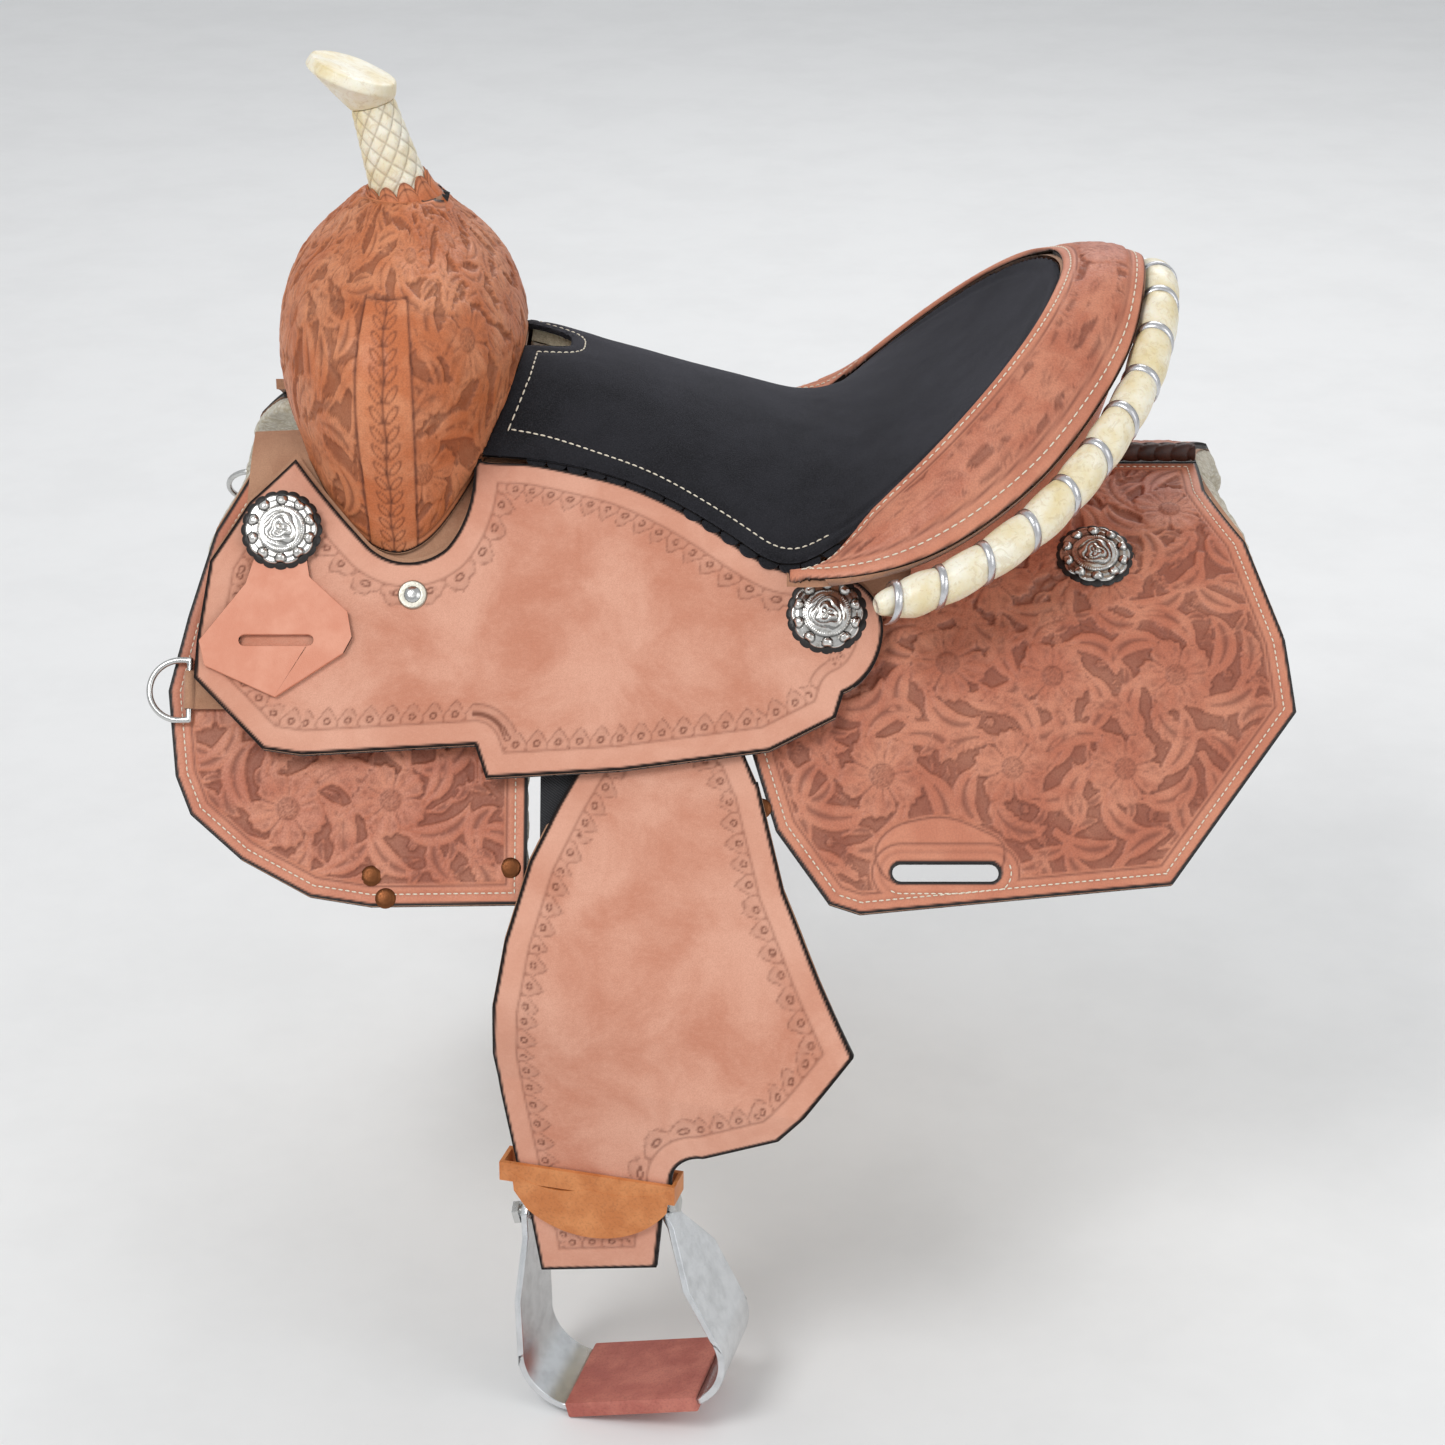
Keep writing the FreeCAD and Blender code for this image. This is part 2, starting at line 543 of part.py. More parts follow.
def make_cantle_roll():
    across, turns = 7, [-105 + 7 * k for k in range(31)]

    def grid(depth):
        rows = []
        for turn in turns:
            a, b = roll_inner(turn), roll_outer(turn)
            ahead = roll_inner(turn + 1) + roll_outer(turn + 1) - roll_inner(turn - 1) - roll_outer(turn - 1)
            n = (b - a).cross(ahead).normalize()
            n = n if n.z > 0 else n * -1
            rows.append([a + (b - a) * (k / (across - 1)) + n * (6 * math.sin(math.pi * k / (across - 1)) - depth)
                         for k in range(across)])
        return rows

    subpart(grid_solid("cantle_roll_body", grid(0), grid(D["roll_thick"])), "cantle_roll")


def binding_centre(turn):
    """Middle of the rawhide roll, outside and under the facing's edge."""
    a = math.radians(turn)
    out = Vector(math.cos(a), -math.sin(a), 0)
    side = abs(math.sin(a))
    return roll_outer(turn) + out * (8.8 + 2 * side) + Vector(0, 0, -16.6)


def make_cantle_binding():
    turns = [-88 + 8 * k for k in range(23)]
    path = Part.BSplineCurve()
    path.interpolate([binding_centre(t) for t in turns])
    start = path.FirstParameter
    ring = Part.Wire(Part.makeCircle(D["binding_radius"], path.value(start), path.tangent(start)[0]))
    roll = Part.Wire(path.toShape()).makePipeShell([ring], True, True)
    subpart(shape_part("binding_pipe", roll), "cantle_binding")
    laces = []
    for k in range(int(D["lace_count"])):
        at = path.parameter(binding_centre(-84 + 168 * k / (D["lace_count"] - 1)))
        p, t = path.value(at), path.tangent(at)[0]
        band = Part.makeCylinder(D["binding_radius"] + 1.2, D["lace_width"], p, t)
        laces.append(band.cut(Part.makeCylinder(D["binding_radius"] + 0.3, D["lace_width"] + 2, p - t, t)))
    subpart(shape_part("lace_bands", Part.makeCompound(laces)), "cantle_lacing")


def cantle_frustum(name, grow):
    """The oval flare of the cantle, from under the bars to over the rim."""
    cone = Part.makeCone(132 + grow, 195 + grow, 210)
    cone.rotate(Vector(0, 0, 0), Vector(0, 0, 1), 30)
    oval = FreeCAD.Matrix()
    oval.scale(Vector(1, 0.955, 1))
    return shape_part(name, cone.transformGeometry(oval), Placement(Vector(82, 0, -40), Rotation()))


def make_cantle(seat_under):
    """The tree's cantle board between the seat's underside and the leather back."""
    rim_side = [(118, -60), (300, -60), (300, 131), (262, 131), (252, 116), (236, 101), (199, 86), (161, 60), (118, 31)]
    below_rim = feature("Part::Extrusion", "cantle_side", Dir=Vector(0, -1, 0), DirMode="Custom", Solid=True,
                        LengthFwd=400, Base=outline_sketch("cantle_side_sketch", rim_side, Placement(
                            Vector(0, 200, 0),
                            Rotation(Vector(1, 0, 0), Vector(0, 0, 1), Vector(0, -1, 0), "ZXY"))))

    def bed(name, radius, height):
        near = drape_core(name + "_near", 60, 320, radius, height)
        far = feature("Part::Mirroring", name + "_far", Source=near, Normal=Vector(0, 1, 0))
        return fuse(name, near, far)

    bars = bed("bars_bed", D["skirt_radius"] + D["bar_thick"], D["bar_thick"])
    skirts = bed("skirts_bed", D["skirt_radius"] + 0.3, 0.3)
    shape = common("board_blank", cantle_frustum("board_frustum", 0), below_rim)
    for k, tool in enumerate((cantle_frustum("board_hollow", -24), bars, seat_under)):
        shape = cut(f"board_step{k}", shape, tool)
    subpart(shape, "cantle_board")
    back = common("back_blank", cut("back_ring", cantle_frustum("back_outer", D["cantle_back_thick"]),
                                    cantle_frustum("back_inner", 0.05)), below_rim)
    for k, tool in enumerate((skirts, seat_under)):
        back = cut(f"back_step{k}", back, tool)
    subpart(back, "cantle_back")


# ---------------------------------------------------------------- conchos, screws and rivets
def stand_on_jockey(x, y, lift=0.0):
    """Placement on a jockey's outer face with local Z pointing outward."""
    radius = D["jockey_radius"] + D["jockey_thick"]
    height = D["jockey_gap"] + D["jockey_thick"]
    return stand_on_drape(x, y, radius, height, lift)


def stand_on_drape(x, y, radius, height, lift=0.0):
    angle = min(FLANK, math.asin(min(1.0, abs(y) / radius)))
    n = Vector(0, -math.sin(angle), math.cos(angle))
    return Placement(Vector(x, y, top_z(y, radius, height)) + n * lift, Rotation(Vector(0, 0, 1), n))


def turned(name, profile, placement):
    """A round piece from its half profile, (radius, height)."""
    wire = Part.makePolygon([Vector(r, 0, h) for r, h in profile + [profile[0]]])
    solid = Part.Face(wire).revolve(Vector(0, 0, 0), Vector(0, 0, 1), 360)
    return shape_part(name, solid, placement)


KEEPER_X, KEEPER_DOWN = -275, -107
CONCHO_SPOTS = [("front", KEEPER_X, 0), ("jockey", 65, -161), ("rear", 237, -103)]


def make_conchos():
    r, t = D["concho_radius"], D["concho_thick"]
    rt = D["rosette_thick"]
    conchos, rosettes = [], []
    keeper_top = D["keeper_gap"] + D["keeper_thick"] + 0.3
    for name, x, y in CONCHO_SPOTS:
        for side in (1, -1):
            if name == "front":
                spot = flank_placement(x, KEEPER_DOWN, keeper_top)
            elif name == "jockey":
                spot = stand_on_jockey(x, y, 0.05)
            else:
                spot = stand_on_drape(x, y, D["skirt_radius"], 0, 0.05)
            tag = f"{name}_{'near' if side > 0 else 'off'}"
            rosette = turned(f"rosette_{tag}", [(0, 0), (D["rosette_radius"], 0), (D["rosette_radius"], rt), (0, rt)],
                             spot)
            over = Placement(spot.Base + spot.Rotation.multVec(Vector(0, 0, rt)), spot.Rotation)
            concho = turned(f"concho_{tag}", [(0, 0), (r, 0), (r, 1.2), (r * 0.66, t), (r * 0.5, t + 1.8), (0, t + 3)],
                            over)
            if side < 0:
                rosette = feature("Part::Mirroring", rosette.Name + "_m", Source=rosette, Normal=Vector(0, 1, 0))
                concho = feature("Part::Mirroring", concho.Name + "_m", Source=concho, Normal=Vector(0, 1, 0))
            rosettes.append(rosette)
            conchos.append(concho)
    subpart(feature("Part::Compound", "concho_group", Links=conchos), "conchos")
    subpart(feature("Part::Compound", "rosette_group", Links=rosettes), "concho_rosettes")


def make_screws():
    spot = stand_on_jockey(-193, -154, 0.05)
    r, t, h = D["washer_radius"], D["washer_thick"], D["screw_head_radius"]
    washer = turned("washer_near", [(h + 0.1, 0), (r, 0), (r - 1, t), (h + 0.1, t)], spot)
    screw = turned("screw_near", [(0, 0), (h, 0), (h, t), (h * 0.6, t + 1.3), (0, t + 1.5)], spot)
    pair(washer, "jockey_washers")
    pair(screw, "jockey_screws")
    rivets = []
    for k, (x, down) in enumerate([(-217, 108), (-208, 122), (-131, 103), (24, 66)]):
        spot = Placement(on_flank(x, down, 0.05), Rotation(Vector(0, 0, 1), NORMAL))
        near = turned(f"rivet{k}_near", [(0, 0), (D["rivet_radius"], 0), (D["rivet_radius"] * 0.8, 1.2), (0, 1.7)], spot)
        rivets += [near, feature("Part::Mirroring", f"rivet{k}_off", Source=near, Normal=Vector(0, 1, 0))]
    subpart(feature("Part::Compound", "rivet_group", Links=rivets), "rigging_rivets")


# ---------------------------------------------------------------- rigging
DEE_X, DEE_DOWN = -332, -8


def dee_wire(name, width, reach, wire, placement):
    """A D of round wire in its local XY plane: its straight bar lies along Y, its bow reaches to -X."""
    half, r = width / 2 - wire / 2, reach - wire / 2
    bow = min(half, r - 1)
    edges = [Part.LineSegment(Vector(0, -half, 0), Vector(0, half, 0)).toShape(),
             Part.LineSegment(Vector(0, half, 0), Vector(-(r - bow), half, 0)).toShape(),
             Part.Arc(Vector(-(r - bow), half, 0), Vector(-r, 0, 0), Vector(-(r - bow), -half, 0)).toShape(),
             Part.LineSegment(Vector(-(r - bow), -half, 0), Vector(0, -half, 0)).toShape()]
    path = Part.Wire(edges)
    ring = Part.Wire(Part.makeCircle(wire / 2, Vector(0, 0, 0), Vector(0, 1, 0)))
    return shape_part(name, path.makePipeShell([ring], True, True, 2), placement)


def make_dees():
    level = D["dee_wire"] / 2 + 1.8
    spot = flank_placement(DEE_X, DEE_DOWN, level)
    both(dee_wire("breast_dee", D["dee_height"], D["dee_reach"], D["dee_wire"], spot), "breast_dee")
    r = D["dee_wire"] / 2 + 0.15
    clip = turned("dee_clip_tube", [(r, -12), (r + 1.5, -12), (r + 1.5, 12), (r, 12)],
                  Placement(on_flank(DEE_X, DEE_DOWN, level), Rotation(Vector(0, 0, 1), DOWN)))
    tail = feature("Part::Box", "dee_clip_tail", Length=42, Width=24, Height=1.5,
                   Placement=flank_placement(DEE_X + r, DEE_DOWN + 12, level - 0.75))
    pair(fuse("dee_clip", clip, tail), "dee_clips")


WEB_X, WEB_END = -92, 128


def make_rigging():
    """Nylon web from the bar down between the skirts, with the cinch dee in its end loop."""
    half = D["web_width"] / 2
    web = plate_on_flank("web_plate", [(-half, 0), (half, 0), (half, 118), (-half, 118)], WEB_X, WEB_END, 0.2,
                         "Dims.web_thick")
    wire = D["ring_wire"]
    r = wire / 2 + 0.2
    loop_at = on_flank(WEB_X, WEB_END, 0.2 + D["web_thick"] - r - 1.5)
    loop = turned("web_loop", [(r, -half), (r + 1.5, -half), (r + 1.5, half), (r, half)],
                  Placement(loop_at, ALONG_X))
    pair(fuse("rigging_web_body", web, loop), "rigging_webs")
    hang = Placement(loop_at, Rotation(Vector(0, 0, 1), Vector(-1, 0, 0), Vector(0, 1, 0), "ZXY"))
    ring = dee_wire("rigging_dee", D["ring_width"], 50, wire, hang)
    both(ring, "rigging_dee")


KEEPER = [(16, -18), (18, -30), (42, -52), (45, -68), (40, -78), (-2, -106), (-46, -86), (-50, -70),
          (-22, -34), (-17, -18), (-14, 8), (12, 8)]


def make_keepers():
    """The hanging leather keeper under the front concho, with the latigo's slot."""
    blank = plate_on_flank("keeper_blank", KEEPER, KEEPER_X, KEEPER_DOWN, D["keeper_gap"], "Dims.keeper_thick")
    slot_at = flank_placement(KEEPER_X - 2, KEEPER_DOWN + 70, D["keeper_gap"] - 3)
    slot = feature("Part::Extrusion", "keeper_slot", Dir=NORMAL, DirMode="Custom", Solid=True, LengthFwd=12,
                   Base=outline_sketch("keeper_slot_sketch", slot_outline(D["latigo_slot"], D["latigo_slot_high"]),
                                       slot_at))
    both(cut("keeper_body", blank, slot), "latigo_keeper")


# ---------------------------------------------------------------- stirrup leathers and fenders
SWING_X, LIFT_DOWN = -58, 52
FLAT_RUN, BEND_RADIUS, HANG_ANGLE = 145, 120, 88
STIRRUP_X, BOLT_Z = -84, -382
FENDER = [(-80, -99), (-101, -124), (-119, -154), (-134, -195), (-142, -235), (-143, -270), (-139, -299),
          (-130, -350), (-123, -380), (-116, -425), (-42, -410), (-38, -370), (-32, -350), ((-28, -334), (-12, -326)),
          (34, -306), (80, -252), (60, -215), (38, -170), (25, -125), (17, -99)]
HOBBLE = [(-133, -353), ((-108, -361), (-84, -357)), ((-58, -358), (-33, -350)), (-35, -366),
          ((-80, -392), (-124, -378)), (-132, -366)]
INNER_STRAP = [(-88, -215), (-30, -215), (-53, -288), (-53, -384), (-112, -384), (-112, -288)]


def fender_profile(run):
    """Near side's fender at a run down from the flank's top: its middle's y, z and its slope."""
    flat = min(run, FLAT_RUN)
    p = on_flank(0, flat, D["fender_gap"] + D["leather_thick"] / 2)
    if run <= FLAT_RUN:
        return p.y, p.z, FLANK
    turn = min(math.radians(HANG_ANGLE) - FLANK, (run - FLAT_RUN) / BEND_RADIUS)
    slope = FLANK + turn
    out = Vector(0, -math.sin(slope), math.cos(slope))
    rest = run - FLAT_RUN - turn * BEND_RADIUS
    q = p - NORMAL * BEND_RADIUS + out * BEND_RADIUS + Vector(0, -math.cos(slope), -math.sin(slope)) * rest
    return q.y, q.z, slope


def fender_point(x, run, depth):
    """A point depth inside the fender's middle. Its lower part turns, rear edge outward, to face the stirrup."""
    y, z, slope = fender_profile(run)
    yaw = math.radians(D["stirrup_yaw"]) * max(0.0, min(1.0, (run - 135) / 110)) ** 1.5
    dx = x - STIRRUP_X
    p = Vector(STIRRUP_X + dx * math.cos(yaw), y - dx * math.sin(yaw), z)
    out = Vector(-math.sin(yaw) * math.sin(slope), -math.cos(yaw) * math.sin(slope), math.cos(slope))
    return p - out * depth


def fender_layer(name, run_from, run_to, depth_from, depth_to, rows=15):
    xs = [-180 + 30 * k for k in range(11)]

    def grid(depth):
        return [[fender_point(x, run_from + (run_to - run_from) * j / (rows - 1), depth) for x in xs]
                for j in range(rows)]

    return grid_solid(name, grid(depth_from), grid(depth_to))


def run_at(z):
    """Run down the fender's hanging part at a height."""
    _, z_end, slope = fender_profile(300)
    return 300 + (z_end - z) / math.sin(slope)


def hang_placement(z, depth):
    """On the fender's hanging part: local X across it, local Y inward, local Z up."""
    yaw = Rotation(Vector(0, 0, 1), -D["stirrup_yaw"])
    lean = Rotation(Vector(1, 0, 0), HANG_ANGLE - 90)
    return Placement(fender_point(STIRRUP_X, run_at(z), depth), yaw.multiply(lean))


def make_fenders():
    t, r = D["leather_thick"], D["strap_width"] / 2
    loop = plate_on_flank("leather_loop", [(-r, 6), (-r, 49), (r, 49), (r, 6)], SWING_X, 0, D["fender_gap"],
                          "Dims.leather_thick")
    turning = feature("Part::Cylinder", "neck_room", Radius=r + 1.4, Height=30,
                      Placement=flank_placement(SWING_X, 0, -10))
    pair(cut("stirrup_leather_body", loop, turning), "stirrup_leathers")
    low = 0.3 - LIFT_DOWN
    neck = plate_on_flank("fender_neck", [(-r, 0), ((0, r), (r, 0)), (71, -31), (80, low), (-20, low), (-48.3, -73.6),
                                          (-43, -63), (-27, -35)], SWING_X, 0, D["fender_gap"], "Dims.leather_thick")
    both(neck, "fender_neck")
    sheet = common("fender_cut", fender_layer("fender_sheet", LIFT_DOWN + 0.2, 400, -t / 2, t / 2, 25),
                   side_prism("fender_outline", FENDER, -120))
    corner = feature("Part::Extrusion", "neck_corner", Dir=NORMAL, DirMode="Custom", Solid=True, LengthFwd=t + 4,
                     Base=outline_sketch("neck_corner_sketch", [(-20, -45), (-20, -52.4), (-49.5, -75.4), (-75, -95.3),
                                                                (-75, -45)],
                                         flank_placement(SWING_X, 0, D["fender_gap"] - 2)))
    both(cut("fender_body", sheet, corner), "fender")
    make_hobble(t)
    make_inner_strap(t)


def make_hobble(t):
    """The strap that holds the leathers together above the stirrup."""
    front = common("hobble_front", fender_layer("hobble_sheet", 275, 370, -t / 2 - 4, -t / 2 - 1, 25),
                   side_prism("hobble_outline", HOBBLE, -120))
    strip = feature("Part::Box", "hobble_strip", Length=115, Width=21, Height=13,
                    Placement=hang_placement(-360, 0).multiply(Placement(Vector(-57.5, -t / 2 - 3.8, 0), Rotation())))
    room = feature("Part::Box", "hobble_room", Length=110, Width=15.4, Height=20,
                   Placement=hang_placement(-363, 0).multiply(Placement(Vector(-55, -t / 2 - 0.9, 0), Rotation())))
    both(fuse("hobble_body", cut("hobble_ring", strip, room), front), "hobble_strap")


STRAP_DEPTH = 4.4
PLATE_Z = -335


def make_inner_strap(t):
    """The stirrup leather behind the fender: it turns round the bolt and is held by a plate and sliding sleeve."""
    strap = common("inner_strap_sheet_cut", fender_layer("inner_strap_sheet", 150, 360, STRAP_DEPTH, STRAP_DEPTH + t, 29),
                   side_prism("inner_strap_outline", INNER_STRAP, -120))
    spot = stirrup_placement()
    r = D["bolt_radius"] + 0.08
    half = D["inner_strap_width"] / 2
    eye = turned("strap_eye", [(r, -half), (r + t, -half), (r + t, half), (r, half)],
                 spot.multiply(Placement(Vector(0, 0, 0), ALONG_X)))
    bore = feature("Part::Cylinder", "strap_bore", Radius=r, Height=90,
                   Placement=spot.multiply(Placement(Vector(-45, 0, 0), ALONG_X)))
    both(cut("inner_strap_body", fuse("inner_strap_sum", strap, eye), bore), "inner_strap")
    plate_depth = STRAP_DEPTH + t + 0.3
    plate = feature("Part::Box", "buckle_plate_body", Length=44, Width=1.5, Height=46,
                    Placement=hang_placement(PLATE_Z, plate_depth).multiply(Placement(Vector(-22, 0, 0), Rotation())))
    both(plate, "buckle_plate")
    wide = D["inner_strap_width"] + 4
    near, far = STRAP_DEPTH - 1.8, plate_depth + 1.5 + 0.7
    sleeve = feature("Part::Box", "sleeve_outer", Length=wide + 2, Width=far + 1 - near, Height=D["sleeve_height"],
                     Placement=hang_placement(PLATE_Z + 2, near).multiply(
                         Placement(Vector(-wide / 2 - 1, 0, 0), Rotation())))
    hollow = feature("Part::Box", "sleeve_inner", Length=wide, Width=far - near - 1, Height=60,
                     Placement=hang_placement(PLATE_Z - 10, near + 1).multiply(
                         Placement(Vector(-wide / 2, 0, 0), Rotation())))
    both(cut("sleeve_body", sleeve, hollow), "buckle_sleeve")


def stirrup_placement():
    """At the stirrup bolt's middle: local X along the bolt, local Y inward, local Z up."""
    base = fender_point(STIRRUP_X, run_at(BOLT_Z), D["bolt_depth"])
    yaw = Rotation(Vector(0, 0, 1), -D["stirrup_yaw"])
    return Placement(base, yaw.multiply(Rotation(Vector(0, 1, 0), -D["stirrup_roll"])))


def stirrup_loop(inset):
    """Half profiles of the band's outside (inset 0) or inside: top, knee, corner's middle, foot."""
    high, low, top = D["stirrup_height"], D["stirrup_bottom"] / 2, D["stirrup_top"] / 2
    return [(top - inset, 11), (low - inset, -high * 0.65), (low - 3.5 - inset, -high * 0.88 + inset * 0.4),
            (low - 22 - inset * 0.3, -high + inset)]


def stirrup_band_outline():
    path = []
    for inset, order in ((0, 1), (D["stirrup_wall"], -1)):
        top, knee, corner, foot = stirrup_loop(inset)
        left = [(-x, z) for x, z in (top, knee, corner, foot)]
        if order > 0:
            path += [left[0], left[1], (left[2], left[3]), foot, (corner, knee), top]
        else:
            path += [top, knee, (corner, foot), left[3], (left[2], left[1]), left[0]]
    return path


def make_stirrups():
    spot = stirrup_placement()
    depth, half_top = D["stirrup_depth"], D["stirrup_top"] / 2
    upright = Rotation(Vector(1, 0, 0), Vector(0, 0, 1), Vector(0, -1, 0), "ZXY")
    face = spot.multiply(Placement(Vector(0, depth / 2, 0), upright))
    band = bind(feature("Part::Extrusion", "stirrup_band", DirMode="Normal", Solid=True,
                        Base=outline_sketch("stirrup_sketch", stirrup_band_outline(), face)),
                LengthFwd="Dims.stirrup_depth")
    side = Rotation(Vector(0, 1, 0), Vector(0, 0, 1), Vector(1, 0, 0), "ZXY")
    waist = [(-10, 3), (-5, 9), (5, 9), (10, 3), (10, -14), (31, -48), (31, -150), (-31, -150), (-31, -48), (-10, -14)]
    profile = feature("Part::Extrusion", "stirrup_waist", DirMode="Normal", Solid=True, LengthFwd=180,
                      Base=outline_sketch("stirrup_waist_sketch", waist,
                                          spot.multiply(Placement(Vector(-90, 0, 0), side))))
    hole = feature("Part::Cylinder", "bolt_hole", Radius=D["bolt_radius"] + 0.05, Height=120,
                   Placement=spot.multiply(Placement(Vector(-60, 0, 0), ALONG_X)))
    both(cut("stirrup_body", common("stirrup_shape", band, profile), hole), "stirrup_frame")
    shank = bind(feature("Part::Cylinder", "bolt_shank",
                         Placement=spot.multiply(Placement(Vector(-half_top - 9, 0, 0), ALONG_X))),
                 Radius="Dims.bolt_radius", Height="Dims.stirrup_top + 18")
    heads = [feature("Part::Prism", f"bolt_head{k}", Polygon=6, Circumradius=8, Height=4.5,
                     Placement=spot.multiply(Placement(Vector(x, 0, 0), ALONG_X)))
             for k, x in enumerate((-half_top - 9.2, half_top + 4.7))]
    both(fuse("stirrup_bolt_body", shank, *heads), "stirrup_bolt")
    wall, wrap, long, foot = D["stirrup_wall"], D["tread_wrap"], D["tread_length"] - 6, -D["stirrup_height"]
    outer = feature("Part::Box", "tread_outer", Length=long, Width=depth + 2 * wrap, Height=wall + 2 * wrap,
                    Placement=spot.multiply(Placement(Vector(-long / 2, -depth / 2 - wrap, foot - wrap), Rotation())))
    both(cut("tread_cover_body", outer, common("tread_room", copy_of(band, "tread_band"), outer)), "tread_cover")


# ---------------------------------------------------------------- assembly
def make_all():
    make_skirts()
    make_skirt_lacing()
    horn_post, screw_group = make_horn()
    subpart(cut("horn_screws_body", screw_group, horn_post), "horn_screws")
    make_horn_cap()
    fork_volume = make_fork(horn_post, screw_group)
    seat_stack = make_seat(fork_volume)
    make_bars(seat_stack)
    make_jockeys(fork_volume, seat_layer("seat_over", -45, 17.2, 1.012))
    make_cantle_roll()
    make_cantle_binding()
    make_cantle(seat_layer("seat_under", -60, 18.2))
    make_conchos()
    make_screws()
    make_dees()
    make_rigging()
    make_keepers()
    make_fenders()
    make_stirrups()


def check_and_write():
    doc.recompute()
    bad = [o.Name for o in doc.Objects if "Invalid" in o.State or "Error" in o.State]
    assert not bad, f"failed objects: {bad}"
    os.makedirs("parts", exist_ok=True)
    for old in os.listdir("parts"):
        os.remove(os.path.join("parts", old))
    labels = [s.Label for s in SUBPARTS]
    assert len(set(labels)) == len(labels), "a name is used twice"
    for part in SUBPARTS:
        shape = part.Shape
        assert not shape.isNull() and shape.isValid() and shape.Solids, f"{part.Label} has no valid solid"
        shape.exportStep(f"parts/{part.Label}.step")
        print(f"{part.Label}: {len(shape.Solids)} solid(s), {shape.Volume / 1000:.1f} cm3")


make_all()
check_and_write()
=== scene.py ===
import bpy
import math
import numpy as np
from mathutils import Matrix, Vector
from mathutils.bvhtree import BVHTree
from mathutils.kdtree import KDTree


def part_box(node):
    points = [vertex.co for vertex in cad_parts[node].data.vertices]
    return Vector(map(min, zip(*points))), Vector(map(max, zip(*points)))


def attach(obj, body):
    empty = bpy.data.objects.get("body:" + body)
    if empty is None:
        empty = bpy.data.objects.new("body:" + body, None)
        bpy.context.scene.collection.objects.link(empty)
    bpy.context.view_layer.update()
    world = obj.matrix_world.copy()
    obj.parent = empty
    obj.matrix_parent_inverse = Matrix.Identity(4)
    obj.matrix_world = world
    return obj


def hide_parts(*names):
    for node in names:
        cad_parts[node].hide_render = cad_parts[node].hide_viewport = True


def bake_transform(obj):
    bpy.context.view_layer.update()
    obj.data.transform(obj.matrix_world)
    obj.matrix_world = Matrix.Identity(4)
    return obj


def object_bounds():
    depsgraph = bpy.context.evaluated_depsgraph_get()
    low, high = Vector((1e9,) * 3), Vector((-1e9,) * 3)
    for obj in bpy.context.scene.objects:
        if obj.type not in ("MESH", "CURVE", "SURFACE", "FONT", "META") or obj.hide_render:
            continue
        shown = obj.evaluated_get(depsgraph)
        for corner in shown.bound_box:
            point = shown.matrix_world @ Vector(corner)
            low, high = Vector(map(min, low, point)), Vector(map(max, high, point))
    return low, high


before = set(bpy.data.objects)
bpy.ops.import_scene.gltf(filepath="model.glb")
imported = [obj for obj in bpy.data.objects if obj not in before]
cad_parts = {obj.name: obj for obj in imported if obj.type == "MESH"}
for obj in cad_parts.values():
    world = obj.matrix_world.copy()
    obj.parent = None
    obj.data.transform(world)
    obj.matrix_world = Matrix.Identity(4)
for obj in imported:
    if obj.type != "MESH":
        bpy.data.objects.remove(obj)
cad_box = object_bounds()
FINE = 1.0  # mesh spacing factor
SIDES = (("left", 1.0), ("right", -1.0))
MM = 0.001


# ---------------------------------------------------------------- mesh tools
def cad_mesh(*nodes):
    """Welded points in millimetres and triangles of CAD nodes."""
    points, tris, start = [], [], 0
    for name in nodes:
        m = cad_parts[name].data
        co = np.empty(len(m.vertices) * 3, np.float32)
        m.vertices.foreach_get("co", co)
        m.calc_loop_triangles()
        tri = np.empty(len(m.loop_triangles) * 3, np.int32)
        m.loop_triangles.foreach_get("vertices", tri)
        points.append(co.reshape(-1, 3).astype(float) * 1000)
        tris.append(tri.reshape(-1, 3) + start)
        start += len(points[-1])
    points, tris = np.vstack(points), np.vstack(tris)
    _, first, inverse = np.unique(np.round(points * 50).astype(np.int64), axis=0, return_index=True,
                                  return_inverse=True)
    tris = inverse.reshape(-1)[tris]
    whole = (tris[:, 0] != tris[:, 1]) & (tris[:, 1] != tris[:, 2]) & (tris[:, 0] != tris[:, 2])
    return points[first], tris[whole]


def face_normals(points, tris):
    a, b, c = (points[tris[:, k]] for k in range(3))
    n = np.cross(b - a, c - a)
    return n / np.maximum(np.linalg.norm(n, axis=1, keepdims=True), 1e-12)


def solids(points, tris):
    """Connected pieces of a mesh, as lists of points."""
    label = np.arange(len(points))
    while True:
        low = label[tris].min(axis=1)
        new = label.copy()
        for k in range(3):
            np.minimum.at(new, tris[:, k], low)
        new = new[new]
        if (new == label).all():
            break
        label = new
    used = np.unique(label[tris])
    return [points[label == k] for k in used]


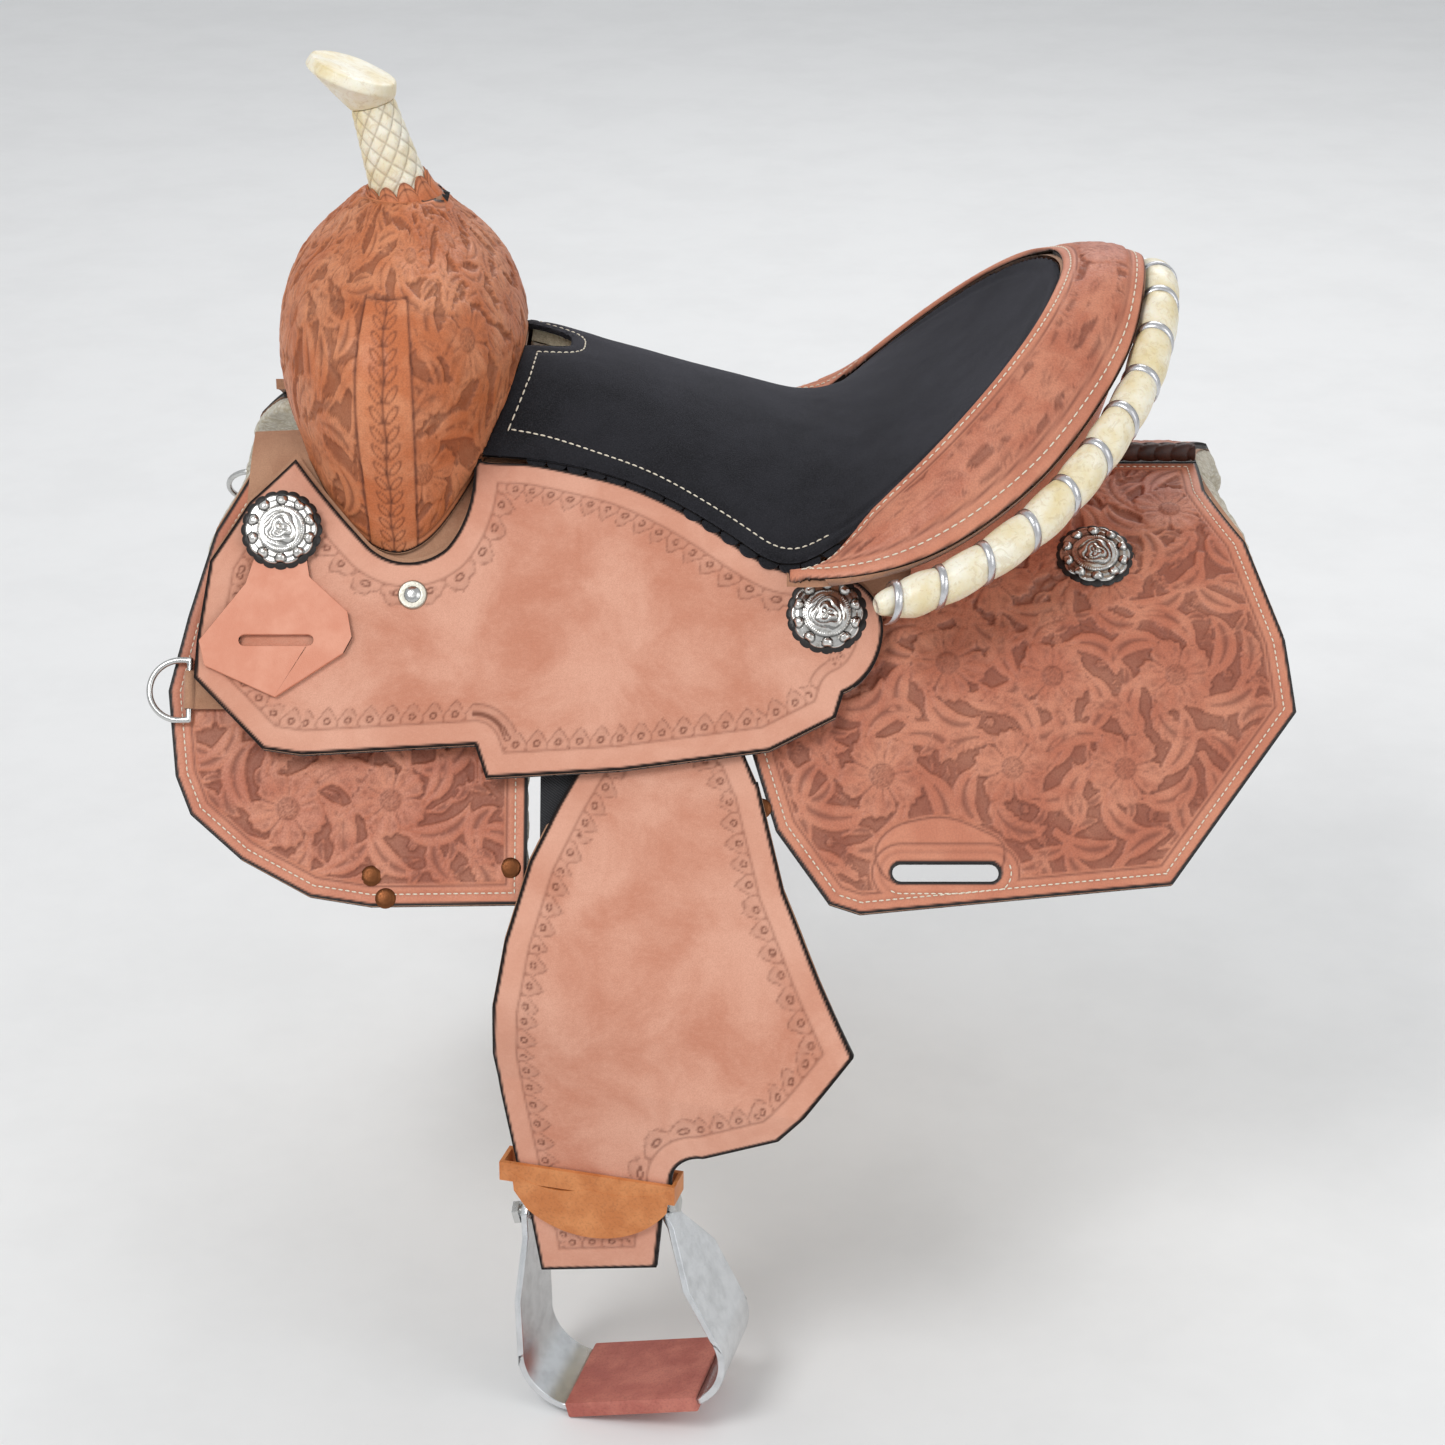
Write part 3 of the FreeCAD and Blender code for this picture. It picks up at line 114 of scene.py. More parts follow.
def make_object(name, points, faces, body, tone=None, materials=(), slots=None, smooth=True):
    """A mesh object from points in millimetres and arrays of faces, riding on a body."""
    faces = [np.asarray(f, np.int32) for f in faces if len(f)]
    mesh = bpy.data.meshes.new(name)
    mesh.vertices.add(len(points))
    mesh.vertices.foreach_set("co", (np.asarray(points, float) * MM).astype(np.float32).ravel())
    loops = np.concatenate([f.ravel() for f in faces])
    totals = np.concatenate([np.full(len(f), f.shape[1], np.int32) for f in faces])
    mesh.loops.add(len(loops))
    mesh.loops.foreach_set("vertex_index", loops)
    mesh.polygons.add(len(totals))
    mesh.polygons.foreach_set("loop_start", np.concatenate([[0], np.cumsum(totals)[:-1]]).astype(np.int32))
    mesh.polygons.foreach_set("loop_total", totals)
    if tone is not None:
        layer = mesh.color_attributes.new("tone", "FLOAT_COLOR", "POINT")
        colour = np.ones((len(points), 4), np.float32)
        colour[:, :3] = tone
        layer.data.foreach_set("color", colour.ravel())
    for m in materials:
        mesh.materials.append(m)
    if slots is not None:
        mesh.polygons.foreach_set("material_index", np.asarray(slots, np.int32))
    mesh.polygons.foreach_set("use_smooth", np.full(len(totals), smooth))
    mesh.update(calc_edges=True)
    mesh.validate()
    obj = bpy.data.objects.new(name, mesh)
    bpy.context.scene.collection.objects.link(obj)
    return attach(obj, body) if body else obj


def mirror_object(obj, name, body):
    """The off-side twin of a near-side piece."""
    mesh = obj.data.copy()
    mesh.transform(Matrix.Diagonal((1, -1, 1, 1)))
    mesh.flip_normals()
    twin = bpy.data.objects.new(name, mesh)
    bpy.context.scene.collection.objects.link(twin)
    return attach(twin, body) if body else twin


def smooth_step(a, b, x):
    t = np.clip((x - a) / (b - a), 0, 1)
    return t * t * (3 - 2 * t)


def bump_at(x, centre, width):
    return np.exp(-((x - centre) / width) ** 2)


def hashed(i, j, seed=0):
    """Repeatable pseudo-random numbers from whole-number grids."""
    v = np.sin(i * 127.1 + j * 311.7 + seed * 74.7) * 43758.5453
    return v - np.floor(v)


def value_noise(x, y, seed=0):
    xi, yi = np.floor(x), np.floor(y)
    fx, fy = x - xi, y - yi
    fx, fy = fx * fx * (3 - 2 * fx), fy * fy * (3 - 2 * fy)
    a, b = hashed(xi, yi, seed), hashed(xi + 1, yi, seed)
    c, d = hashed(xi, yi + 1, seed), hashed(xi + 1, yi + 1, seed)
    return (a * (1 - fx) + b * fx) * (1 - fy) + (c * (1 - fx) + d * fx) * fy


# ---------------------------------------------------------------- surfaces of the leather
SIN, COS, PLANE = 0.819152, 0.573576, 104.137  # the flank plane: SIN |y| + COS z = PLANE + height
FLANK_TOP = np.array([0, -180.2134, -75.8132])
FLANK_DOWN = np.array([0, -COS, -SIN])
FLANK_OUT = np.array([0, -SIN, COS])


def on_flank(x, down, height):
    return np.array([x, 0, 0]) + FLANK_TOP + FLANK_DOWN * down + FLANK_OUT * height


class Drape:
    """A near-side sheet over the ridge: a round top that runs into the flat flank."""

    def __init__(self, radius, height):
        self.r = radius
        self.axis = (PLANE + height - radius) / COS
        self.turn = math.asin(SIN)
        self.s0 = radius * self.turn

    def flat(self, p):
        y, z = -p[:, 1], p[:, 2] - self.axis
        round_part = self.r * np.arctan2(y, z)
        straight = self.s0 + (y - self.r * SIN) * COS - (z - self.r * COS) * SIN
        s = np.where(round_part < self.s0, round_part, straight)
        off = np.where(round_part < self.s0, np.hypot(y, z) - self.r, y * SIN + z * COS - self.r)
        return np.column_stack([p[:, 0], s]), off

    def lift(self, q):
        x, s = q[:, 0], q[:, 1]
        a = np.minimum(s / self.r, self.turn)
        rest = np.maximum(s - self.s0, 0)
        n = np.column_stack([np.zeros(len(x)), -np.sin(a), np.cos(a)])
        p = n * self.r + np.column_stack([x, -rest * COS, self.axis - rest * SIN])
        return p, n


SWING_X, LIFT_DOWN, FLAT_RUN, BEND_RADIUS, STIRRUP_X = -58.0, 52.0, 145.0, 120.0, -84.0
HANG_SLOPE, FLANK_SLOPE, YAW = math.radians(88), math.radians(55), math.radians(15)


def fender_profile(run):
    """Near fender's middle surface at runs down from the flank's top: y, z and slope."""
    flat = np.minimum(run, FLAT_RUN)
    y = FLANK_TOP[1] - COS * flat - SIN * 4
    z = FLANK_TOP[2] - SIN * flat + COS * 4
    turn = np.clip((run - FLAT_RUN) / BEND_RADIUS, 0, HANG_SLOPE - FLANK_SLOPE)
    slope = FLANK_SLOPE + turn
    rest = np.maximum(run - FLAT_RUN - turn * BEND_RADIUS, 0)
    y = y + BEND_RADIUS * (SIN - np.sin(slope)) - rest * np.cos(slope)
    z = z - BEND_RADIUS * (COS - np.cos(slope)) - rest * np.sin(slope)
    return y, z, slope


class FenderSheet:
    """A layer of the near fender. Its lower part turns, rear edge outward, to face the stirrup."""

    def __init__(self, depth):
        self.depth = depth

    def lift(self, q):
        x, run = q[:, 0], q[:, 1]
        y, z, slope = fender_profile(run)
        yaw = YAW * np.clip((run - 135) / 110, 0, 1) ** 1.5
        dx = x - STIRRUP_X
        n = np.column_stack([-np.sin(yaw) * np.sin(slope), -np.cos(yaw) * np.sin(slope), np.cos(slope)])
        p = np.column_stack([STIRRUP_X + dx * np.cos(yaw), y - dx * np.sin(yaw), z]) - n * self.depth
        return p, n

    def flat(self, p):
        runs = np.arange(-40, 420, 0.25)
        _, z, slope = fender_profile(runs)
        zz = z - np.cos(slope) * self.depth
        run = np.interp(-p[:, 2], -zz, runs)
        yaw = YAW * np.clip((run - 135) / 110, 0, 1) ** 1.5
        _, _, slope = fender_profile(run)
        x = STIRRUP_X + (p[:, 0] - np.sin(yaw) * np.sin(slope) * self.depth - STIRRUP_X) / np.cos(yaw)
        q = np.column_stack([x, run])
        back, n = self.lift(q)
        return q, ((p - back) * n).sum(axis=1)


class Cast:
    """The outside of a CAD shape, found by rays. to_ray turns flat coordinates into their starts and ways."""

    def __init__(self, nodes, flat, to_ray):
        self.points, self.tris = cad_mesh(*nodes)
        self.tree = BVHTree.FromPolygons(self.points.tolist(), self.tris.tolist())
        self.to_flat, self.to_ray = flat, to_ray
        self.known = KDTree(len(self.points))
        for k, (x, y) in enumerate(flat(self.points)):
            self.known.insert((x, y, 0), k)
        self.known.balance()

    def flat(self, p):
        return self.to_flat(p), np.zeros(len(p))

    def lift(self, q):
        starts, ways = self.to_ray(q)
        p, n = np.zeros((len(q), 3)), np.zeros((len(q), 3))
        for k in range(len(q)):
            hit, normal, _, reach = self.tree.ray_cast(starts[k], ways[k])
            level = self.points[self.known.find((q[k, 0], q[k, 1], 0))[1]]
            level = (level - starts[k]) @ ways[k]
            if hit is None or abs(reach - level) > 14:
                hit, normal, _, _ = self.tree.find_nearest(starts[k] + ways[k] * level)
            p[k], n[k] = hit, normal
        flip = (n * -ways).sum(axis=1) < 0
        n[flip] *= -1
        return p, n


def outlines(points, tris, outer, surface):
    """Loops around the chosen faces, in the surface's flat coordinates."""
    chosen = tris[outer]
    edges = np.vstack([chosen[:, [0, 1]], chosen[:, [1, 2]], chosen[:, [2, 0]]])
    seen = {(a, b) for a, b in edges.tolist()}
    follow = {}
    for a, b in seen:
        if (b, a) not in seen:
            follow.setdefault(a, []).append(b)
    q, _ = surface.flat(points)
    loops = []
    while follow:
        start = next(iter(follow))
        loop, at = [start], follow[start].pop()
        if not follow[start]:
            del follow[start]
        while at != start and at in follow:
            loop.append(at)
            nxt = follow[at].pop()
            if not follow[at]:
                del follow[at]
            at = nxt
        if len(loop) > 3:
            loops.append(q[loop])
    loops = [k for k in loops if np.ptp(k[:, 0]) > 2 and np.ptp(k[:, 1]) > 2]
    return loops


def resample(loop, step):
    """Evenly spaced points on a closed loop, with their distance along it and inward normal."""
    closed = np.vstack([loop, loop[:1]])
    seg = np.linalg.norm(np.diff(closed, axis=0), axis=1)
    keep = np.concatenate([[True], seg > 1e-6])
    closed = closed[keep]
    seg = np.linalg.norm(np.diff(closed, axis=0), axis=1)
    along = np.concatenate([[0], np.cumsum(seg)])
    u = np.linspace(0, along[-1], max(8, int(along[-1] / step)), endpoint=False)
    p = np.column_stack([np.interp(u, along, closed[:, 0]), np.interp(u, along, closed[:, 1])])
    return p, u, along[-1]


def inside_mask(loops, xs, ys):
    """Even-odd inside test of every (x, y) of a grid, row by row."""
    mask = np.zeros((len(ys), len(xs)), bool)
    for loop in loops:
        nxt = np.roll(loop, -1, axis=0)
        for (x1, y1), (x2, y2) in zip(loop, nxt):
            if y1 == y2:
                continue
            lo, hi = min(y1, y2), max(y1, y2)
            j0, j1 = np.searchsorted(ys, lo, "left"), np.searchsorted(ys, hi, "left")
            for j in range(j0, j1):
                cross = x1 + (ys[j] - y1) * (x2 - x1) / (y2 - y1)
                mask[j, np.searchsorted(xs, cross):] ^= True
    return mask


class Panel:
    """A flat cut of leather laid on a surface: a fine grid inside outlines, with distances from its edge."""

    def __init__(self, groups, surface, spacing):
        self.surface = surface
        loops = [k for g in groups for k in g]
        corners = np.vstack(loops)
        low, high = corners.min(axis=0), corners.max(axis=0)
        xs = np.arange(low[0] - spacing, high[0] + 2 * spacing, spacing)
        ys = np.arange(low[1] - spacing, high[1] + 2 * spacing, spacing)
        mask = np.zeros((len(ys) - 1, len(xs) - 1), bool)
        centre_x, centre_y = (xs[:-1] + xs[1:]) / 2, (ys[:-1] + ys[1:]) / 2
        for g in groups:
            mask |= inside_mask(g, centre_x, centre_y)
        samples, along = [], []
        offset = 0.0
        for n, g in enumerate(groups):
            for loop in g:
                p, u, length = resample(loop, 0.5)
                keep = np.ones(len(p), bool)
                for other, h in enumerate(groups):
                    if other != n:
                        keep &= ~points_inside(h, p)
                samples.append(p[keep])
                along.append(u[keep] + offset)
                offset += length + 500
        self.edge, self.along = np.vstack(samples), np.concatenate(along)
        self.tree = KDTree(len(self.edge))
        for k, (x, y) in enumerate(self.edge):
            self.tree.insert((x, y, 0), k)
        self.tree.balance()
        rows, cols = np.nonzero(mask)
        width = len(xs)
        corner = rows * width + cols
        quads = np.column_stack([corner, corner + 1, corner + width + 1, corner + width])
        used, inverse = np.unique(quads, return_inverse=True)
        self.quads = inverse.reshape(quads.shape)
        q = np.column_stack([xs[used % width], ys[used // width]])
        counts = np.bincount(self.quads.ravel(), minlength=len(used))
        self.d, self.u = self.from_edge(q)
        self.rim = counts < 4
        near = np.array([self.tree.find((x, y, 0))[1] for x, y in q[self.rim]])
        q[self.rim] = self.edge[near]
        self.d[self.rim] = 0
        self.q = q

    def drawn_in(self):
        """The grid with its rim a little inside the edge, where a ray surely meets the outside."""
        total, count = np.zeros_like(self.q), np.zeros(len(self.q))
        middle = self.q[self.quads].mean(axis=1)
        for k in range(4):
            np.add.at(total, self.quads[:, k], middle)
            np.add.at(count, self.quads[:, k], 1)
        way = total / count[:, None] - self.q
        way /= np.maximum(np.linalg.norm(way, axis=1, keepdims=True), 1e-9)
        return self.q + way * 0.7 * self.rim[:, None]

    def from_edge(self, q):
        found = [self.tree.find((x, y, 0)) for x, y in q]
        return np.array([f[2] for f in found]), self.along[[f[1] for f in found]]

    def rim_edges(self):
        e = np.vstack([self.quads[:, [k, (k + 1) % 4]] for k in range(4)])
        key = e[:, 0].astype(np.int64) * 10000000 + e[:, 1]
        back = e[:, 1].astype(np.int64) * 10000000 + e[:, 0]
        return e[~np.isin(key, back)]


def points_inside(loops, pts):
    inside = np.zeros(len(pts), bool)
    for loop in loops:
        nxt = np.roll(loop, -1, axis=0)
        for (x1, y1), (x2, y2) in zip(loop, nxt):
            if y1 == y2:
                continue
            between = (pts[:, 1] >= min(y1, y2)) & (pts[:, 1] < max(y1, y2))
            cross = x1 + (pts[:, 1] - y1) * (x2 - x1) / (y2 - y1)
            inside ^= between & (cross < pts[:, 0])
    return inside


def panel_object(name, panel, body, height, tone, thickness, materials, under=None, round_edge=1.0):
    """Top grid with real relief, rounded black edge and the CAD underside."""
    p, n = panel.surface.lift(panel.drawn_in() if isinstance(panel.surface, Cast) else panel.q)
    if isinstance(panel.surface, Cast):
        n = smooth_normals(p, panel.quads, n)
    top = p + n * height[:, None]
    e = panel.rim_edges()
    ring = np.unique(e)
    at = np.full(len(p), -1)
    at[ring] = np.arange(len(ring))
    levels = [0.35 * round_edge + 0.3, thickness * 0.55, thickness - 0.4, thickness]
    points, total = [top], len(top)
    flip = orientation(p, panel.quads, n)
    quads = panel.quads[:, ::-1] if flip else panel.quads
    walls = []
    prev = np.arange(len(p))
    for depth in levels:
        points.append(p[ring] - n[ring] * depth)
        here = total + at
        a, b = e[:, 0], e[:, 1]
        quad = np.column_stack([prev[b], prev[a], here[a], here[b]])
        walls.append(quad[:, ::-1] if flip else quad)
        prev = here
        total += len(ring)
    extra = []
    if under is not None:
        up, ut = under
        used, inverse = np.unique(ut, return_inverse=True)
        extra = inverse.reshape(ut.shape) + total
        points.append(up[used])
        total += len(used)
    points = np.vstack(points)
    shade = np.zeros((len(points), 3))
    shade[:len(top)] = tone
    shade[len(top):len(top) + len(ring) * len(levels), 1] = 1.0
    slots = np.concatenate([np.zeros(len(quads) + len(walls) * len(e), int),
                            np.full(len(extra), min(1, len(materials) - 1))])
    return make_object(name, points, [quads, *walls, extra], body, shade, materials, slots)


def orientation(p, quads, n):
    q = quads[:: max(1, len(quads) // 500)]
    made = np.cross(p[q[:, 1]] - p[q[:, 0]], p[q[:, 3]] - p[q[:, 0]])
    return (made * n[q[:, 0]]).sum() < 0


def smooth_normals(p, quads, n):
    made = np.cross(p[quads[:, 2]] - p[quads[:, 0]], p[quads[:, 3]] - p[quads[:, 1]])
    total = np.zeros_like(p)
    for k in range(4):
        np.add.at(total, quads[:, k], made)
    size = np.linalg.norm(total, axis=1, keepdims=True)
    total = np.where(size > 1e-9, total / np.maximum(size, 1e-9), n)
    flip = (total * n).sum(axis=1) < 0
    total[flip] *= -1
    return total


# ---------------------------------------------------------------- carved pattern
class Carving:
    """Relief drawn on a flat plan: flowers and curling leaves over a matted ground."""

    def __init__(self, low, high, seed, step=0.7):
        self.low, self.step = np.array(low, float), step
        size = np.ceil((np.array(high) - low) / step).astype(int) + 2
        self.height = np.full((size[1], size[0]), -0.85, np.float32)
        self.dark = np.full((size[1], size[0]), 0.62, np.float32)
        self.drawn = np.zeros((size[1], size[0]), bool)
        self.random = np.random.RandomState(seed)

    def window(self, centre, reach):
        i0, j0 = np.maximum(((np.array(centre) - reach - self.low) / self.step).astype(int), 0)
        i1, j1 = ((np.array(centre) + reach - self.low) / self.step).astype(int) + 1
        i1, j1 = min(i1, self.height.shape[1]), min(j1, self.height.shape[0])
        if i1 <= i0 or j1 <= j0:
            return None
        x = self.low[0] + np.arange(i0, i1) * self.step - centre[0]
        y = self.low[1] + np.arange(j0, j1) * self.step - centre[1]
        gx, gy = np.meshgrid(x, y)
        return (slice(j0, j1), slice(i0, i1)), gx, gy

    def stamp(self, where, height, dark, mask):
        old, shade = self.height[where], self.dark[where]
        mask = mask & (height > old - 0.15)
        self.drawn[where] |= mask
        old[mask] = height[mask]
        shade[mask] = dark[mask]

    def covered(self, centre, reach):
        w = self.window(centre, reach)
        if w is None:
            return 1.0
        where, gx, gy = w
        disc = gx ** 2 + gy ** 2 < reach ** 2
        return float(self.drawn[where][disc].mean()) if disc.any() else 1.0

    def flower(self, centre, radius, turn):
        w = self.window(centre, radius * 1.15)
        if w is None:
            return
        where, gx, gy = w
        rho, phi = np.hypot(gx, gy) / radius, np.arctan2(gy, gx) + turn
        lobe = np.abs(np.cos(2.5 * phi)) ** 0.7
        scallop = 0.035 * np.cos(25 * phi)
        rim = 0.7 + 0.29 * lobe ** 0.8 + scallop
        t = rho / rim
        cup = 0.35 + 0.75 * smooth_step(0.25, 0.85, t) * (1 - smooth_step(0.9, 1.0, t) * 0.8)
        flute = 0.16 * np.cos(15 * phi) * smooth_step(0.35, 0.6, t)
        height = cup + flute - 0.5 * bump_at(lobe, 0.0, 0.16) * (t > 0.4)
        heart = rho < 0.24
        beads = 0.55 + 0.4 * np.cos(rho * 34) * np.cos(9 * phi + np.floor(rho * 5.4) * 2.1)
        height = np.where(heart, 0.65 + 0.45 * beads * (rho < 0.22), height)
        dark = 0.05 + 0.7 * bump_at(rho, 0.25, 0.03) + 0.85 * smooth_step(0.93, 0.99, t)
        dark = np.maximum(dark, 0.85 * bump_at(lobe, 0.0, 0.16) * (t > 0.3))
        dent = np.hypot((rho - 0.66) / 0.13, (np.abs(((phi * 5 / (2 * math.pi)) % 1) - 0.5) - 0.2) / 0.085)
        dark = np.maximum(dark, 0.5 * np.clip(1.25 - dent, 0, 1))
        lines = bump_at(np.abs(np.cos(7.5 * phi)), 0, 0.16) * (rho > 0.28) * (rho < 0.58)
        dark = np.maximum(dark, 0.55 * lines)
        height = height - 0.25 * np.clip(1.25 - dent, 0, 1)
        dark = np.where(heart, 0.25 + 0.5 * (beads < 0.45), dark) + 0.15 * (flute < -0.05)
        self.stamp(where, height, np.clip(dark, 0, 0.95), t < 1)

    def leaf(self, root, way, length, width, curl, serrated=True):
        """An acanthus leaf that starts at root, heads along way and curls as it goes."""
        steps = 28
        t = np.linspace(0, 1, steps)
        heading = way + curl * t ** 1.25
        dx, dy = np.cos(heading) * length / steps, np.sin(heading) * length / steps
        line = np.column_stack([root[0] + np.cumsum(dx), root[1] + np.cumsum(dy)])
        centre = (line.min(axis=0) + line.max(axis=0)) / 2
        reach = np.ptp(line, axis=0).max() / 2 + width + 2
        w = self.window(centre, reach)
        if w is None:
            return
        where, gx, gy = w
        px, py = gx + centre[0], gy + centre[1]
        best = np.full(gx.shape, 1e9)
        along, side = np.zeros(gx.shape), np.zeros(gx.shape)
        for k in range(steps):
            d = np.hypot(px - line[k, 0], py - line[k, 1])
            closer = d < best
            best = np.where(closer, d, best)
            along = np.where(closer, t[k], along)
            s = (-np.sin(heading[k]) * (px - line[k, 0]) + np.cos(heading[k]) * (py - line[k, 1]))
            side = np.where(closer, s, side)
        full = width * np.sin(np.pi * np.clip(along * 0.93 + 0.07, 0, 1)) ** 0.62 * (1.12 - 0.42 * along)
        if serrated:
            full = full * (1 + 0.2 * np.abs(np.sin(along * math.pi * 5.5)) - 0.12)
        v = np.abs(side) / np.maximum(full, 0.3)
        ribs = (0.2 if serrated else 0.04) * np.cos(2 * math.pi * (along * 7 - v * 1.3))
        height = 0.95 * np.sqrt(np.clip(1 - v ** 2.4, 0, 1)) * (0.75 + 0.25 * v) + ribs * (v < 0.9) * 0.7
        height -= 0.55 * bump_at(side, 0, 0.9) * (along < 0.94)
        vein = bump_at(side, 0, 0.8 + 1.4 * bump_at(along, 0.55, 0.22)) * (along < 0.8) * (along > 0.12)
        dark = 0.04 + 0.8 * smooth_step(0.84, 0.98, v) + 0.7 * vein
        if serrated:
            dark = dark + 0.3 * (ribs < -0.1) * (v > 0.3)
        self.stamp(where, height, np.clip(dark, 0, 0.95), (v < 1) & (best < width * 1.4 + 1))

    def berries(self, centre, radius):
        for k in range(7):
            a = k * math.pi / 3
            reach = 0 if k == 6 else radius * 0.6
            spot = (centre[0] + reach * math.cos(a), centre[1] + reach * math.sin(a))
            w = self.window(spot, radius * 0.34)
            if w is None:
                continue
            where, gx, gy = w
            t = np.hypot(gx, gy) / (radius * 0.32)
            self.stamp(where, 0.8 * np.sqrt(np.clip(1 - t ** 2, 0, 1)), 0.15 + 0.6 * t ** 3, t < 1)

    def fill(self, allowed, spacing=66.0, radius=18.0):
        """Flowers on a loose lattice, leaves swirling round them, and smaller leaves between."""
        size = np.array(self.height.shape[::-1]) * self.step
        rnd = self.random
        flowers = []
        rows = int(size[1] / (spacing * 0.86)) + 2
        for j in range(rows):
            for i in range(int(size[0] / spacing) + 2):
                spot = self.low + np.array([(i + 0.5 * (j % 2)) * spacing, j * spacing * 0.86])
                spot = spot + rnd.uniform(-6, 6, 2)
                if allowed(spot) > radius * 0.75:
                    flowers.append(spot)
        for spot in flowers:
            size_here = radius * rnd.uniform(0.9, 1.1)
            self.flower(spot, size_here, rnd.uniform(0, 6))
            swirl = rnd.choice([-1, 1])
            count = 6
            for k in range(count):
                a = 2 * math.pi * (k + rnd.uniform(-0.12, 0.12)) / count
                root = spot + size_here * 0.92 * np.array([math.cos(a), math.sin(a)])
                self.leaf(root, a + swirl * 0.75, size_here * rnd.uniform(1.5, 2.1), size_here * 0.34,
                          swirl * rnd.uniform(1.4, 2.4), bool(rnd.rand() < 0.3))
        for size_here, tries in ((17.0, 900), (12.0, 1200), (8.0, 1600), (5.0, 1800)):
            for _ in range(int(tries * size[0] * size[1] / 120000)):
                spot = self.low + rnd.uniform(0, 1, 2) * size
                if allowed(spot) < size_here * 0.25 or self.covered(spot, size_here * 0.75) > 0.22:
                    continue
                way = rnd.uniform(0, 2 * math.pi)
                if size_here < 6 and rnd.rand() < 0.4:
                    self.berries(spot, size_here * 0.8)
                    continue
                root = spot - size_here * 0.8 * np.array([math.cos(way), math.sin(way)])
                self.leaf(root, way - 0.5, size_here * 2.1, size_here * 0.46, rnd.choice([-1, 1]) * rnd.uniform(0.8, 2),
                          bool(rnd.rand() < 0.25))

    def sample(self, q):
        slope = np.hypot(*np.gradient(self.height)) / self.step
        self.dark = np.maximum(self.dark * 0.92, np.clip(slope * 0.85 - 0.2, 0, 0.95) * (self.height > -0.84))
        f = (q - self.low) / self.step
        i = np.clip(f[:, 0], 0, self.height.shape[1] - 1.001)
        j = np.clip(f[:, 1], 0, self.height.shape[0] - 1.001)
        i0, j0 = i.astype(int), j.astype(int)
        fi, fj = i - i0, j - j0

        def read(a):
            return ((a[j0, i0] * (1 - fi) + a[j0, i0 + 1] * fi) * (1 - fj)
                    + (a[j0 + 1, i0] * (1 - fi) + a[j0 + 1, i0 + 1] * fi) * fj)

        return read(self.height), read(self.dark)


def carved_finish(panel, plan, carving, border=12.0, plain=None, hem=6.0):
    """Heights and tones of carved leather with a smooth border. plain tells where it is left smooth."""
    d = panel.d
    relief, dark = carving.sample(plan)
    ground = relief < -0.4
    relief = relief + np.where(ground, 0.22 * (value_noise(plan[:, 0] * 0.9, plan[:, 1] * 0.9, 3) - 0.5), 0)
    inside = smooth_step(border + 0.2, border + 1.6, d)
    if plain is not None:
        inside = inside * smooth_step(0.0, 1.5, plain)
        line = bump_at(plain, -1.2, 0.75)
    else:
        line = np.zeros(len(d))
    groove = bump_at(d, border - 1.0, 0.75)
    height = relief * inside - 0.55 * np.maximum(groove, line) - 0.4 * bump_at(d, hem, 1.0)
    height -= 0.9 * np.clip(1 - d / 2.4, 0, 1) ** 2
    tone = np.zeros((len(d), 3))
    tone[:, 0] = np.clip(dark * inside + 0.75 * np.maximum(groove, line) + 0.25 * bump_at(d, hem, 1.2), 0, 1)
    tone[:, 1] = 1 - smooth_step(1.8, 2.8, d)
    tone[:, 2] = (1 - inside) * 0.35
    return height, tone


def stamped_finish(panel, line=15.5, pitch=13.2, reach=12.5, shown=None):
    """Heights and tones of rough-out leather with an incised line and a row of petal stamps."""
    d, u = panel.d, panel.u
    show = np.ones(len(d)) if shown is None else shown
    a = (u / pitch - np.floor(u / pitch) - 0.5) * pitch
    b = d - line
    groove = bump_at(d, line, 0.8) * show
    # each stamp: a pointed leaf that stands on the line, leaning along it, with a ringed seed at its foot
    a = a - 0.16 * b
    t = np.clip(b / reach, 0, 1)
    belly = 0.86 + 0.3 * np.sin(math.pi * np.minimum(t * 1.5, 1))
    half = 0.47 * pitch * np.sqrt(np.clip(1 - t ** 1.9, 0, 1)) * belly
    v = np.abs(a) / np.maximum(half, 0.15)
    near_leaf = (b > 0.6) & (b < reach + 1.2)
    crease = bump_at(np.abs(a) - half, 0.0, 0.62) * near_leaf
    within = (v < 1) & (b > 0) & (b < reach)
    ring = np.hypot(a, b - 4.6)
    seed = bump_at(ring, 1.75, 0.62)
    leaf = 0.4 * within * (1 - 0.5 * v) + 0.3 * (ring < 1.2) - 0.55 * seed - 0.45 * crease
    height = leaf * show - 0.7 * groove
    height -= 0.8 * np.clip(1 - d / 2.2, 0, 1) ** 2
    tone = np.zeros((len(d), 3))
    tone[:, 0] = np.clip(0.5 * groove + (0.95 * seed + 0.5 * crease + 0.22 * within * t) * show, 0, 1)
    tone[:, 1] = 1 - smooth_step(1.9, 2.9, d)
    tone[:, 2] = np.clip((1 - smooth_step(line - 1, line + 1, d)) * 0.8 + 0.3 * within * show, 0, 1)
    return height, tone


